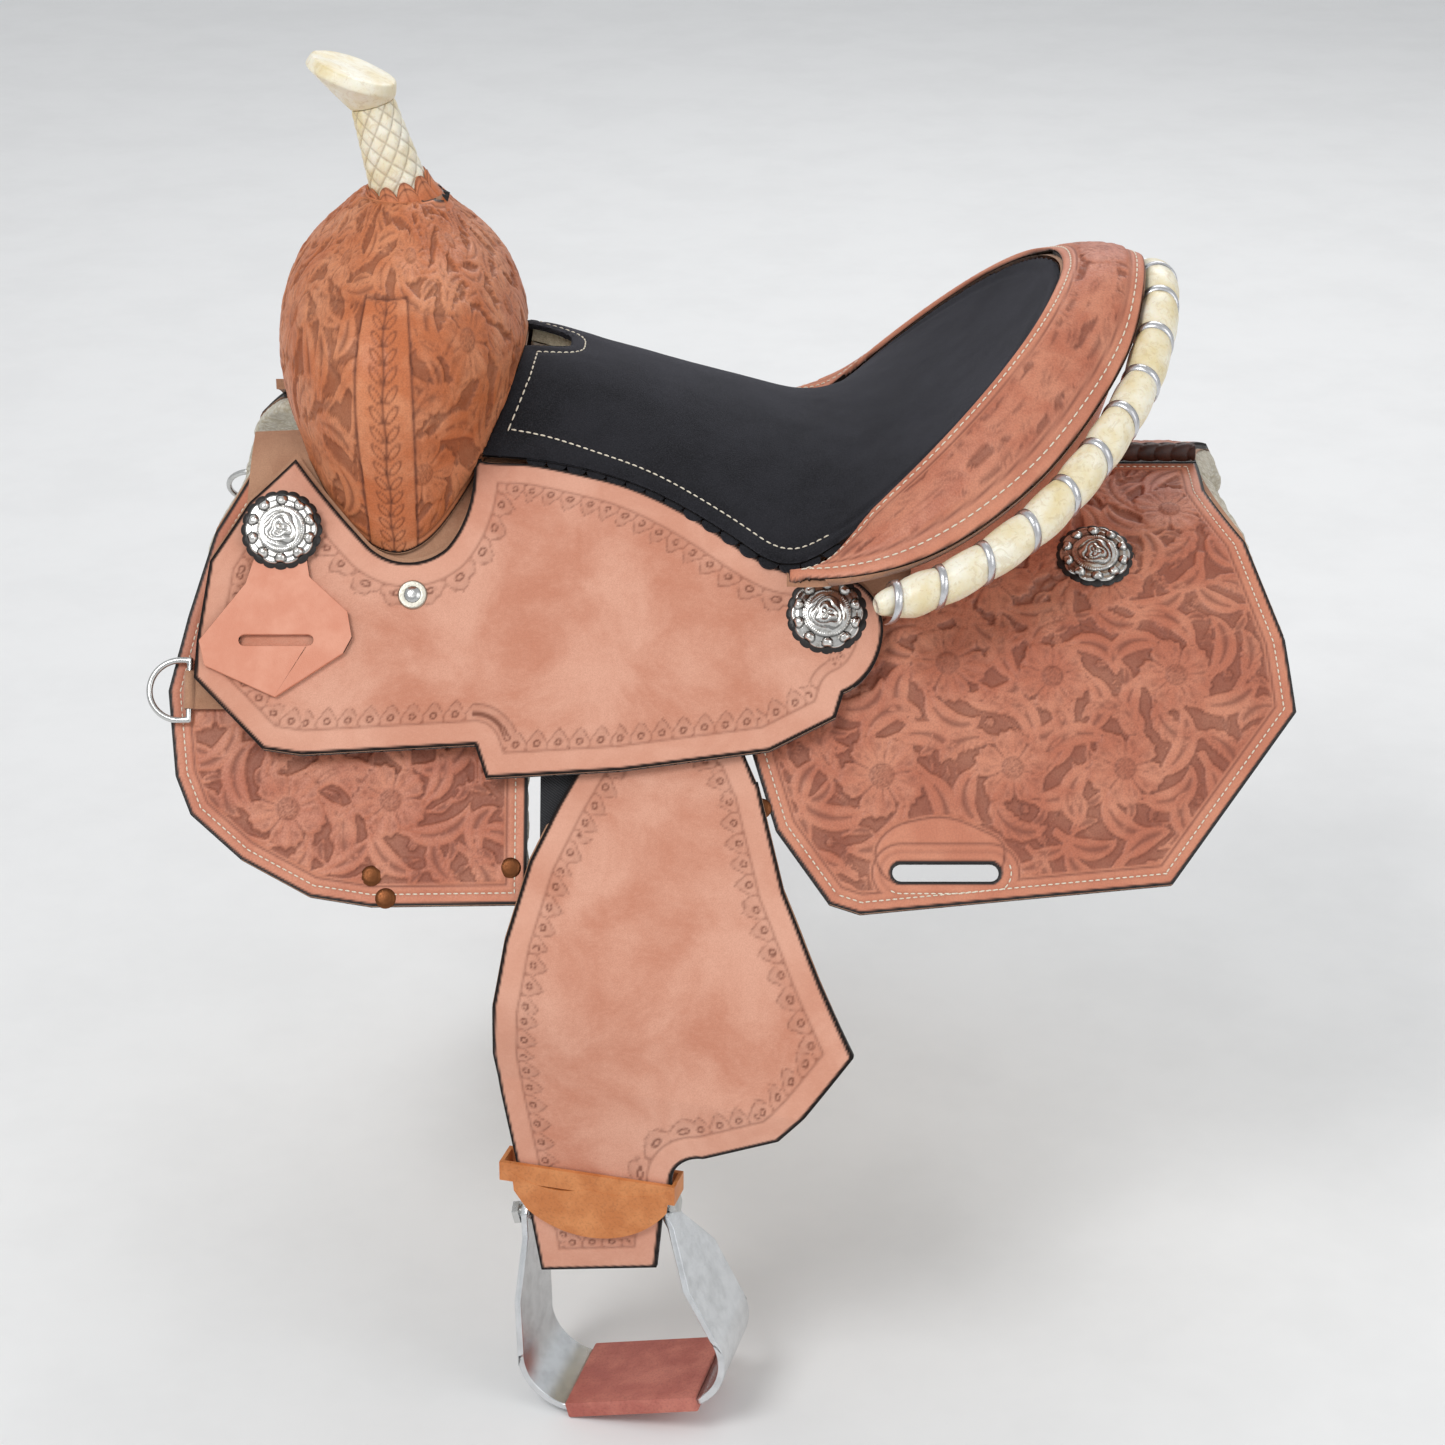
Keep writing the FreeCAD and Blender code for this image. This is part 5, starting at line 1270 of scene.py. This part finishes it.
def fork_flat(p):
    x, y, z = (p[:, 0] - FORK_X) / FORK_HALF, p[:, 1] / FORK_WIDE, (p[:, 2] - FORK_Z0) / FORK_HIGH
    tilt = np.arctan2(np.hypot(x, y), z)
    way = np.arctan2(y, x)
    return np.column_stack([np.cos(way), np.sin(way)]) * (tilt * FORK_SCALE)[:, None]


def fork_ray(q):
    tilt, way = np.hypot(q[:, 0], q[:, 1]) / FORK_SCALE, np.arctan2(q[:, 1], q[:, 0])
    ray = np.column_stack([np.sin(tilt) * np.cos(way) * FORK_HALF, np.sin(tilt) * np.sin(way) * FORK_WIDE,
                           np.cos(tilt) * FORK_HIGH])
    ray /= np.linalg.norm(ray, axis=1, keepdims=True)
    return np.array([FORK_X, 0, FORK_Z0]) + ray * 330, -ray


def cast_outline(cast, way_out, share=0.25):
    n = face_normals(cast.points, cast.tris)
    middle = cast.points[cast.tris].mean(axis=1)
    facing = (n * way_out(middle)).sum(axis=1)
    return outlines(cast.points, cast.tris, facing > share, cast), (cast.points, cast.tris[facing < -0.1])


def around_ellipse(way):
    """Distance round the fork's oval, from the middle of its near side."""
    a = np.linspace(-math.pi, math.pi, 721)
    steps = np.hypot(np.diff(FORK_HALF * np.cos(a)), np.diff(FORK_WIDE * np.sin(a)))
    d = np.concatenate([[0], np.cumsum(steps)])
    at = np.interp(way, a, d) - np.interp(-math.pi / 2, a, d)
    return at


def make_fork():
    cast = Cast(["fork_cover"], fork_flat, fork_ray)

    def way_out(p):
        return -fork_ray(fork_flat(p))[1]

    loops, under = cast_outline(cast, way_out)
    loops.sort(key=lambda k: -np.ptp(k[:, 0]))
    panel = Panel([loops], cast, 1.55 * FINE)
    way = np.arctan2(panel.q[:, 1], panel.q[:, 0])
    tilt = np.hypot(panel.q[:, 0], panel.q[:, 1])
    across = around_ellipse(way)
    span = around_ellipse(np.array([math.pi]))[0] - around_ellipse(np.array([-math.pi]))[0]
    # the pattern is mirrored about the middle plane, and runs in distance round the swell and down it
    offside = (panel.q[:, 1] > 0)
    along = np.where(offside, np.where(across > span / 4, across - span / 2, across + span / 2), across)
    along = np.where(offside, -along, along)
    plan = np.column_stack([along, tilt])
    low, high = plan.min(axis=0), plan.max(axis=0)
    carving = Carving(low - 2, high + 2, 23)
    carving.fill(lambda s: 40 if abs(s[0]) > 16 or s[1] < 150 else 12, 78, 25)
    height, tone = carved_finish(panel, plan, carving, 7.0, None, 99)
    # the plain strap down the middle of each swell, with a vine of paired leaves
    v = tilt
    strap = smooth_step(112, 118, v) * (1 - smooth_step(16.0, 17.2, np.abs(along)))
    edge = bump_at(np.abs(along), 17.0, 0.9) * (v > 113) + bump_at(v, 114, 1.0) * (np.abs(along) < 17)
    k = (v / 10.5) - np.floor(v / 10.5)
    leaf_x, leaf_y = np.abs(along) - 4.6, (k - 0.5) * 10.5 + (np.abs(along) - 4.6) * 0.9
    oval = np.hypot(leaf_x / 3.6, leaf_y / 3.0)
    vine = bump_at(oval, 1.0, 0.22)
    stem = bump_at(along, 0.5 * np.sin(v / 6), 0.8)
    strap_height = 0.35 * (oval < 1) - 0.45 * vine - 0.45 * stem
    height = height * (1 - strap) + strap * strap_height - 0.6 * edge
    tone[:, 0] = np.clip(tone[:, 0] * (1 - strap) + strap * (0.7 * vine + 0.8 * stem) + 0.85 * edge, 0, 1)
    # the relief eases to nothing at the cover's very edge; the scallops round the horn's foot come from make_collar
    collar = smooth_step(0.5, 1.5, panel.d)
    near = panel_object("swell_cover", panel, "tree_and_skirts", height * collar, tone, 4.5,
                        [FORK_LEATHER, FLESH], under)
    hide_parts("fork_cover")


make_fork()


def make_collar():
    """Leather scallops that stand up round the horn's foot."""
    axis, u, v = np.array([-0.258819, 0, 0.965926]), np.array([0.965926, 0, 0.258819]), np.array([0, 1.0, 0])
    t, a = np.meshgrid(np.linspace(0, 1, 22), np.linspace(0, 2 * math.pi, 220, endpoint=False), indexing="ij")
    lobe = np.abs(np.cos(a * 5)) ** 0.7
    top = 6.5 + 8.5 * lobe
    radius = 20.6 + 9.5 * t ** 1.5
    high = top * (1 - t) ** 1.35 - 12.0 * t ** 2
    shell = []
    for inward in (0.0, 3.0):
        r, h = radius - inward * 0.6, high - inward * 0.75 * (t > 0)
        shell.append(np.array([-204.0, 0, 196.0]) + axis * h[..., None]
                     + (u * np.cos(a)[..., None] + v * np.sin(a)[..., None]) * r[..., None])
    points = np.vstack([s.reshape(-1, 3) for s in shell])
    rows, turns = t.shape
    i, k = np.meshgrid(np.arange(rows - 1), np.arange(turns), indexing="ij")
    x, y = (i * turns + k).ravel(), (i * turns + (k + 1) % turns).ravel()
    outer = np.column_stack([x, x + turns, y + turns, y])
    inner = outer[:, ::-1] + rows * turns
    k = np.arange(turns)
    lip = np.column_stack([k, (k + 1) % turns, (k + 1) % turns + rows * turns, k + rows * turns])
    tone = np.zeros((len(points), 3))
    vein = bump_at(np.abs(np.sin(a * 5)), 0, 0.14) * (t < 0.9)
    lines = 0.8 * bump_at(t, 0, 0.05) + 0.8 * bump_at(t, 0.2, 0.03) + 0.5 * vein
    tone[:rows * turns, 0] = np.clip(lines, 0, 1).ravel()
    collar = make_object("horn_collar", points, [outer, inner, lip], "tree_and_skirts", tone, [FORK_LEATHER])


make_collar()


# ---------------------------------------------------------------- seat
def down_ray(q):
    starts = np.column_stack([q[:, 0], q[:, 1], np.full(len(q), 400.0)])
    return starts, np.tile([0.0, 0.0, -1.0], (len(q), 1))


def up(p):
    return np.tile([0.0, 0.0, 1.0], (len(p), 1))


def make_seat():
    cast = Cast(["seat_cover"], lambda p: p[:, :2].copy(), down_ray)
    loops, under = cast_outline(cast, up, 0.12)
    panel = Panel([loops], cast, 2.2 * FINE)
    d = panel.d
    x, y = panel.q[:, 0], panel.q[:, 1]
    wrinkle = value_noise(x / 26, y / 34, 5) + 0.5 * value_noise(x / 11, y / 14, 6) - 0.75
    height = 0.6 * wrinkle * smooth_step(4, 30, d) - 0.9 * bump_at(d, 9.5, 1.6) - 1.1 * np.clip(1 - d / 3.2, 0, 1) ** 2
    tone = np.zeros((len(d), 3))
    seat = panel_object("seat_suede", panel, "tree_and_skirts", height, tone, 4.0, [SUEDE, BLACK], under)
    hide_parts("seat_cover")
    sew = stitches("seat_thread", panel, "tree_and_skirts", 9.5, 4.6, 3.3, 0.55, THREAD, -0.5,
                   skip=lambda q: q[:, 0] > 66)
    make_scallops(panel)


def make_scallops(panel):
    """The pinked edge of the suede where it lies on the jockeys."""
    order = np.argsort(panel.along)
    q, u = panel.edge[order], panel.along[order]
    marks = np.arange(u[0] + 6.5, u[-1], 13.0)
    at = np.unique(np.searchsorted(u, marks).clip(2, len(q) - 3))
    c = q[at]
    low_edge = (c[:, 0] > -118) & (c[:, 0] < 72) & (np.abs(c[:, 1]) > 60)
    at, c = at[low_edge], c[low_edge]
    way = q[at + 2] - q[at - 2]
    way /= np.maximum(np.linalg.norm(way, axis=1, keepdims=True), 1e-9)
    side = np.column_stack([-way[:, 1], way[:, 0]])
    side *= np.where(side[:, 1] * c[:, 1] > 0, 1, -1)[:, None]
    edge, n = panel.surface.lift(c - side * 1.2)
    deep, _ = panel.surface.lift(c - side * 5.0)
    out = edge - deep
    out /= np.linalg.norm(out, axis=1, keepdims=True)
    along = np.cross(n, out)
    along /= np.linalg.norm(along, axis=1, keepdims=True)
    turns = np.linspace(-0.5 * math.pi, 0.5 * math.pi, 13)
    points, faces, total = [], [], 0
    for k in range(len(c)):
        arc = [edge[k] - n[k] * 1.6 + along[k] * 6.6 * math.sin(t) + out[k] * (6.0 * math.cos(t) + 0.6) for t in turns]
        tops = [edge[k] - n[k] * 0.9 - out[k] * 2] + arc
        unders = [p - n[k] * 1.4 for p in tops]
        points += tops + unders
        m = len(tops)
        fan = [(total, total + i, total + i + 1) for i in range(1, m - 1)]
        faces += fan + [(a + m, c2 + m, b + m) for a, b, c2 in fan]
        faces += [(total + i, total + i + m, total + i + 1 + m) for i in range(1, m - 1)]
        faces += [(total + i, total + i + 1 + m, total + i + 1) for i in range(1, m - 1)]
        total += 2 * m
    tabs = make_object("seat_scallops", np.array(points), [np.array(faces)], "tree_and_skirts", None, [SUEDE],
                       smooth=False)


make_seat()


# ---------------------------------------------------------------- cantle facing
RING_X, RING_R = 75.0, 150.0


def ring_flat(p):
    turn, reach = np.arctan2(p[:, 1], p[:, 0] - RING_X), np.hypot(p[:, 0] - RING_X, p[:, 1])
    return np.column_stack([turn * RING_R, reach])


def ring_ray(q):
    turn = q[:, 0] / RING_R
    return down_ray(np.column_stack([RING_X + q[:, 1] * np.cos(turn), q[:, 1] * np.sin(turn)]))


def make_facing():
    cast = Cast(["cantle_roll"], ring_flat, ring_ray)
    loops, under = cast_outline(cast, up, 0.12)
    panel = Panel([loops], cast, 1.25 * FINE)
    q = panel.q
    plan = q.copy()
    low, high = plan.min(axis=0), plan.max(axis=0)
    carving = Carving(low - 2, high + 2, 41)
    centre_line = np.interp(np.linspace(low[0] + 30, high[0] - 30, 13), *ring_middle(panel))
    for k, at in enumerate(np.linspace(low[0] + 30, high[0] - 30, 13)):
        lean = 0.25 if k % 2 else -0.25
        way = 0 if at < 0 else math.pi
        carving.leaf((at - 30 * math.cos(way), centre_line[k] - 6), way + lean, 74, 12, -lean * 2.2, False)
        carving.leaf((at - 20 * math.cos(way), centre_line[k] + 8), way - lean, 58, 8, lean * 2.0, False)
    carving.flower((0, centre_line[6]), 23, 0.3)
    carving.fill(lambda s: 20, 66, 17)
    height, tone = carved_finish(panel, plan, carving, 11.0, None, 6.0)
    tone[:, 1] = 1 - smooth_step(0.6, 1.4, panel.d)
    facing = panel_object("cantle_facing", panel, "tree_and_skirts", height, tone, 4.0, [CARVED, FLESH], under)
    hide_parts("cantle_roll")
    sew = stitches("facing_thread", panel, "tree_and_skirts", 6.0, 4.4, 3.2, 0.55, THREAD, -0.2)


def ring_middle(panel):
    bins = np.linspace(panel.q[:, 0].min(), panel.q[:, 0].max(), 60)
    place = np.digitize(panel.q[:, 0], bins)
    xs = [bins[k - 1] for k in range(1, 60) if (place == k).any()]
    ys = [panel.q[place == k, 1].mean() for k in range(1, 60) if (place == k).any()]
    return xs, ys


make_facing()


# ---------------------------------------------------------------- rawhide binding and its silver lacing
BINDING_R = 12.4


def lace_slices():
    points, tris = cad_mesh("cantle_lacing")
    middles = np.array([p.mean(axis=0) for p in solids(points, tris)])
    order = np.argsort(np.arctan2(-middles[:, 1], middles[:, 0] - RING_X))
    return middles[order]


def make_binding():
    laces = lace_slices()
    merged = [laces[0]]
    for k in range(1, len(laces)):
        if np.linalg.norm(laces[k] - merged[-1]) < 14:
            merged[-1] = (merged[-1] + laces[k]) / 2
        else:
            merged.append(laces[k])
    laces = np.array(merged)
    points, _ = cad_mesh("cantle_binding")
    around = np.arctan2(-points[:, 1], points[:, 0] - RING_X)
    first = points[around < around.min() + 0.03].mean(axis=0)
    last = points[around > around.max() - 0.03].mean(axis=0)
    knots = np.vstack([first, laces, last])
    chord = np.concatenate([[0], np.cumsum(np.linalg.norm(np.diff(knots, axis=0), axis=1))])
    steps = np.linspace(0, chord[-1], int(chord[-1] / (1.6 * FINE)))
    line = np.column_stack([catmull(chord, knots[:, k], steps) for k in range(3)])
    lace_at = chord[1:-1]
    nearest = np.abs(steps[:, None] - lace_at[None]).min(axis=1)
    gap = np.median(np.diff(lace_at))
    way = np.gradient(line, axis=0)
    way /= np.linalg.norm(way, axis=1, keepdims=True)
    out = line - np.array([RING_X, 0, 0])
    out[:, 2] = 0
    out /= np.linalg.norm(out, axis=1, keepdims=True)
    side = out - (out * way).sum(axis=1, keepdims=True) * way
    side /= np.linalg.norm(side, axis=1, keepdims=True)
    rise = np.cross(way, side)
    rise *= np.sign(rise[:, 2:3])
    ring = 44
    stack, tone = [], []
    swell = np.sin(np.clip(nearest / (gap / 2), 0, 1) * math.pi / 2) ** 0.8
    ends = np.clip(np.minimum(steps, chord[-1] - steps) / 22, 0.0, 1) ** 0.55
    for k in range(ring):
        a = 2 * math.pi * k / ring
        slant = 5.0 * math.sin(a)  # the roll is pinched along the slanting laces
        n2 = np.abs((steps + slant)[:, None] - lace_at[None]).min(axis=1)
        swell = np.sin(np.clip(n2 / (gap / 2), 0, 1) * math.pi / 2) ** 0.75
        lump = value_noise(steps / 13 + k * 0.21, np.full(len(steps), k * 0.35), 4) - 0.5
        radius = (BINDING_R - 1.3 + 1.9 * swell + 0.8 * lump) * (0.35 + 0.65 * ends)
        stack.append(line + (side * math.cos(a) + rise * math.sin(a)) * radius[:, None])
        tone.append(np.column_stack([0.55 * bump_at(n2, 0, 2.2), np.zeros(len(steps)), np.zeros(len(steps))]))
    n = len(steps)
    points = np.stack(stack, axis=1).reshape(-1, 3)
    tone = np.stack(tone, axis=1).reshape(-1, 3)
    i, k = np.meshgrid(np.arange(n - 1), np.arange(ring), indexing="ij")
    a, b = i * ring + k, i * ring + (k + 1) % ring
    quads = np.column_stack([a.ravel(), (a + ring).ravel(), (b + ring).ravel(), b.ravel()])
    centre = points.reshape(n, ring, 3).mean(axis=1)
    made = np.cross(points[quads[0, 1]] - points[quads[0, 0]], points[quads[0, 3]] - points[quads[0, 0]])
    if (made * (points[quads[0, 0]] - centre[0])).sum() < 0:
        quads = quads[:, ::-1]
    caps = len(points)
    points = np.vstack([points, line[:1], line[-1:]])
    tone = np.vstack([tone, np.zeros((2, 3))])
    k = np.arange(ring)
    lids = np.vstack([np.column_stack([k, (k + 1) % ring, np.full(ring, caps)]),
                      np.column_stack([(n - 1) * ring + (k + 1) % ring, (n - 1) * ring + k, np.full(ring, caps + 1)])])
    roll = make_object("rawhide_roll", points, [quads, lids], "tree_and_skirts", tone, [RAWHIDE])
    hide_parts("cantle_binding")
    # silver strips laid over the pinches, slanting across the roll's outside
    pieces, faces, total = [], [], 0
    for at in lace_at:
        arc = np.radians(np.arange(-75, 196, 9.0))
        strip = []
        for a in arc:
            s = at - 5.0 * math.sin(a)
            c = np.array([np.interp(s, steps, line[:, j]) for j in range(3)])
            u = np.array([np.interp(s, steps, side[:, j]) for j in range(3)])
            v = np.array([np.interp(s, steps, rise[:, j]) for j in range(3)])
            w = np.array([np.interp(s, steps, way[:, j]) for j in range(3)])
            r = BINDING_R - 0.2
            n_out = u * math.cos(a) + v * math.sin(a)
            for across, lift in ((-2.6, -0.3), (-2.2, 0.55), (0, 0.8), (2.2, 0.55), (2.6, -0.3)):
                strip.append(c + n_out * (r + lift) + w * across)
        strip = np.array(strip)
        m = len(arc)
        i, k = np.meshgrid(np.arange(m - 1), np.arange(4), indexing="ij")
        a = (i * 5 + k).ravel() + total
        faces.append(np.column_stack([a, a + 5, a + 6, a + 1]))
        pieces.append(strip)
        total += len(strip)
    lace = make_object("silver_strips", np.vstack(pieces), faces, "tree_and_skirts", None, [LACE_SILVER])
    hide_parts("cantle_lacing")


def catmull(t, v, at):
    """Smooth curve through values v at places t."""
    slope = np.gradient(v, t)
    k = np.clip(np.searchsorted(t, at) - 1, 0, len(t) - 2)
    h = t[k + 1] - t[k]
    s = (at - t[k]) / h
    return ((2 * s ** 3 - 3 * s ** 2 + 1) * v[k] + (s ** 3 - 2 * s ** 2 + s) * h * slope[k]
            + (-2 * s ** 3 + 3 * s ** 2) * v[k + 1] + (s ** 3 - s ** 2) * h * slope[k + 1])


make_binding()


# ---------------------------------------------------------------- silver conchos on scalloped rosettes
def solid_frames(node):
    """Middle, outward axis and half thickness of each disc of a node."""
    points, tris = cad_mesh(node)
    found = []
    for p in solids(points, tris):
        c = (p.min(axis=0) + p.max(axis=0)) / 2
        _, _, axes = np.linalg.svd(p - p.mean(axis=0), full_matrices=False)
        n = axes[2]
        if n[2] < 0:
            n = -n
        h = np.ptp((p - c) @ n) / 2
        found.append((n, h, c))
    return found


def disc_mesh(profile, centre, axis, radius, rings, turns, twist=0.0):
    """A relief disc from a height over (radius share, angle)."""
    u = np.cross(axis, [0.0, 0.0, 1.0])
    u = u / np.linalg.norm(u) if np.linalg.norm(u) > 1e-6 else np.array([1.0, 0, 0])
    v = np.cross(axis, u)
    r = np.linspace(0, 1, rings)[1:]
    a = np.linspace(0, 2 * math.pi, turns, endpoint=False)
    rr, aa = np.meshgrid(r, a, indexing="ij")
    height, dark, reach = profile(rr, aa + twist)
    place = (centre + axis * height[..., None]
             + (u * np.cos(aa)[..., None] + v * np.sin(aa)[..., None]) * (rr * radius * reach)[..., None])
    points = np.vstack([centre + axis * height[0].mean(), place.reshape(-1, 3)])
    tone = np.zeros((len(points), 3))
    tone[1:, 0] = dark.ravel()
    n = rings - 1
    i, k = np.meshgrid(np.arange(n - 1), np.arange(turns), indexing="ij")
    p, q = 1 + i * turns + k, 1 + i * turns + (k + 1) % turns
    quads = np.column_stack([p.ravel(), (p + turns).ravel(), (q + turns).ravel(), q.ravel()])
    k = np.arange(turns)
    tris = np.column_stack([np.zeros(turns, int), 1 + k, 1 + (k + 1) % turns])
    return points, quads, tris, tone


def berry_concho(t, a):
    """Height in mm, darkness and reach of a silver concho with ten berries and an engraved middle."""
    lobes = 10
    k = (a / (2 * math.pi) * lobes) % 1.0 - 0.5
    ring = np.hypot((t - 0.82) * 23, k * 2 * math.pi / lobes * 0.82 * 23)
    berry = np.sqrt(np.clip(1 - (ring / 3.3) ** 2, 0, 1))
    dome = 2.6 * np.sqrt(np.clip(1 - (t / 0.62) ** 2, 0, 1))
    scroll = 0.28 * np.sin(t * 40 + 2.2 * np.sin(3 * a + t * 9)) * (t < 0.5)
    petals = 0.9 * np.abs(np.cos(lobes * a / 2)) ** 0.5 * ((t > 0.6) & (t < 0.8))
    rope = 0.45 * (bump_at(t, 0.6, 0.03)) * (1 + 0.5 * np.cos(60 * a))
    height = 1.2 + np.where(t < 0.6, dome * 0.8 + scroll, 0) + 2.4 * berry + 0.5 * petals + rope
    height = 1.3 + height * (1 - smooth_step(0.94, 1.0, t)) - 1.5 * (t > 0.995)
    dark = np.clip(0.75 * bump_at(t, 0.655, 0.03) + 0.6 * (scroll < -0.1) + 0.85 * bump_at(ring, 3.5, 0.5)
                   + 0.2 * ((t > 0.66) & (berry <= 0)), 0, 1)
    reach = 1 - 0.055 * (1 - np.abs(np.cos(lobes * a / 2)) ** 1.2) * smooth_step(0.6, 1, t)
    return height, dark, reach


def rosette(t, a):
    scallop = np.abs(np.cos(a * 10)) ** 0.6
    height = 1.6 * (1 - np.clip((t - 0.9) / 0.1, 0, 1) ** 2)
    return height, np.zeros_like(t), 1 - 0.05 * (1 - scallop) * smooth_step(0.8, 1, t)


def make_discs(name, node, profile, radius, rings, turns, material, sink):
    points, faces_q, faces_t, tones, total = [], [], [], [], 0
    for n, h, c in solid_frames(node):
        p, q, t, tone = disc_mesh(profile, c - n * sink(h), n, radius, rings, turns)
        points.append(p)
        faces_q.append(q + total)
        faces_t.append(t + total)
        tones.append(tone)
        total += len(p)
    obj = make_object(name, np.vstack(points), [np.vstack(faces_q), np.vstack(faces_t)], "tree_and_skirts",
                      np.vstack(tones), [material])
    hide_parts(node)
    return obj


make_discs("berry_conchos", "conchos", berry_concho, 23.0, 40, 200, SILVER, lambda h: h)
make_discs("concho_leathers", "concho_rosettes", rosette, 25.5, 14, 160, BLACK, lambda h: h)


# ---------------------------------------------------------------- horn
HORN_BASE, HORN_LEAN, NECK = np.array([-204.0, 0.0, 196.0]), math.radians(15), 62.0


def lathe_tube(name, base, axis, u, v, length, radius, relief, rows, turns, material, body):
    """A closed tube along an axis with relief over (distance, angle)."""
    s = np.linspace(0, length, rows)
    a = np.linspace(0, 2 * math.pi, turns, endpoint=False)
    ss, aa = np.meshgrid(s, a, indexing="ij")
    lift, dark = relief(ss, aa)
    r = radius(ss) + lift
    p = base + axis * ss[..., None] + (u * np.cos(aa)[..., None] + v * np.sin(aa)[..., None]) * r[..., None]
    points = np.vstack([p.reshape(-1, 3), base, base + axis * length])
    tone = np.zeros((len(points), 3))
    tone[:-2, 0] = dark.ravel()
    i, k = np.meshgrid(np.arange(rows - 1), np.arange(turns), indexing="ij")
    x, y = (i * turns + k).ravel(), (i * turns + (k + 1) % turns).ravel()
    quads = np.column_stack([x, y, y + turns, x + turns])
    k = np.arange(turns)
    last = (rows - 1) * turns
    lids = np.vstack([np.column_stack([(k + 1) % turns, k, np.full(turns, len(points) - 2)]),
                      np.column_stack([last + k, last + (k + 1) % turns, np.full(turns, len(points) - 1)])])
    made = np.cross(points[quads[0, 1]] - points[quads[0, 0]], points[quads[0, 3]] - points[quads[0, 0]])
    if (made * (points[0] - base)).sum() < 0:
        quads, lids = quads[:, ::-1], lids[:, ::-1]
    return make_object(name, points, [quads, lids], body, tone, [material])


def make_horn():
    axis = np.array([-math.sin(HORN_LEAN), 0, math.cos(HORN_LEAN)])
    u, v = np.array([math.cos(HORN_LEAN), 0, math.sin(HORN_LEAN)]), np.array([0.0, 1.0, 0.0])

    def braid(s, a):
        strands = 9
        one = (a * strands / (2 * math.pi) + s / 13.0) % 1.0 - 0.5
        two = (a * strands / (2 * math.pi) - s / 13.0) % 1.0 - 0.5
        cut = np.maximum(bump_at(np.abs(one) - 0.5, 0, 0.07), bump_at(np.abs(two) - 0.5, 0, 0.07))
        pad = np.cos(one * math.pi) * np.cos(two * math.pi)
        return 0.75 * pad - 0.5 * cut - 0.2, 0.42 * cut

    def radius(s):
        return 19.0 - 5.0 * s / NECK

    neck = lathe_tube("horn_braid", HORN_BASE + axis * 2, axis, u, v, NECK, radius, braid, 120, 150, RAWHIDE,
                      "tree_and_skirts")
    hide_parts("horn_wrap")
    cap = remeshed("horn_plate", ["horn_cap"], 1.0, 10, RAWHIDE)
    co = np.array([q.co for q in cap.data.vertices])
    n = np.array([q.normal for q in cap.data.vertices])
    lump = value_noise(co[:, 0] * 60, co[:, 1] * 60 + co[:, 2] * 31, 8) - 0.5
    for q, d in zip(cap.data.vertices, n * (lump * 0.0007)[:, None]):
        q.co += Vector(d)


def remeshed(name, nodes, voxel, smooths, material, body="tree_and_skirts", replace=True):
    """An even, softened copy of CAD solids."""
    points, tris = cad_mesh(*nodes)
    obj = make_object(name, points, [tris], body, None, [material])
    even = obj.modifiers.new("even", "REMESH")
    even.mode, even.voxel_size = "VOXEL", voxel * MM
    soft = obj.modifiers.new("soft", "SMOOTH")
    soft.factor, soft.iterations = 0.5, smooths
    graph = bpy.context.evaluated_depsgraph_get()
    mesh = bpy.data.meshes.new_from_object(obj.evaluated_get(graph))
    obj.modifiers.clear()
    obj.data = mesh
    for p in mesh.polygons:
        p.use_smooth = True
    if not mesh.materials:
        mesh.materials.append(material)
    if replace:
        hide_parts(*nodes)
    return obj


make_horn()


# ---------------------------------------------------------------- fleece
def make_fleece(name, node):
    wool = remeshed(name + "_left", [node], 4.0 * FINE, 2, WOOL)
    count = len(wool.data.vertices)
    co, n = np.empty(count * 3, np.float32), np.empty(count * 3, np.float32)
    wool.data.vertices.foreach_get("co", co)
    wool.data.vertices.foreach_get("normal", n)
    co, n = co.reshape(-1, 3).astype(float), n.reshape(-1, 3)
    q = co * 1000
    curl = value_noise(q[:, 0] / 9, q[:, 1] / 9 + q[:, 2] / 11, 2) + 0.6 * value_noise(q[:, 0] / 4.5, q[:, 2] / 4.5, 7) - 0.8
    below = n[:, 2] < 0.35
    co += n * (curl * np.where(below, 0.0022, 0.0006))[:, None]
    wool.data.vertices.foreach_set("co", co.astype(np.float32).ravel())
    wool.data.update()
    twin = mirror_object(wool, name + "_right", "tree_and_skirts")
    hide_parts(node.replace("_left", "_right"))


make_fleece("rear_wool", "rear_fleece_left")
make_fleece("front_wool", "front_fleece_left")


# ---------------------------------------------------------------- plaited lace behind the cantle
def make_plait():
    low, high = (np.array(c) * 1000 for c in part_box("skirt_lacing"))
    r = (high[2] - low[2]) / 2
    base = np.array([low[0], 0.0, (low[2] + high[2]) / 2])

    def plait(s, a):
        k = (s / 11.0) % 1.0
        up_side = np.abs(np.sin(a / 2 + math.pi / 4))
        vee = (s / 11.0 + 0.5 * np.abs(np.sin(a - math.pi / 2)) * 1.0) % 1.0 - 0.5
        strand = np.cos(vee * math.pi) ** 0.6
        seam = bump_at(np.abs(np.cos(a)), 0.0, 0.16)
        return 1.3 * strand - 1.9 - 0.5 * seam + 0 * k * up_side, 0.6 * (1 - strand)

    u, v = np.array([0, 1.0, 0]), np.array([0, 0, 1.0])
    obj = lathe_tube("skirt_plait", base, np.array([1.0, 0, 0]), u, v, high[0] - low[0],
                     lambda s: r + 0.0 * s, plait, 120, 60, DARK_LACE, "tree_and_skirts")
    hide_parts("skirt_lacing")


make_plait()
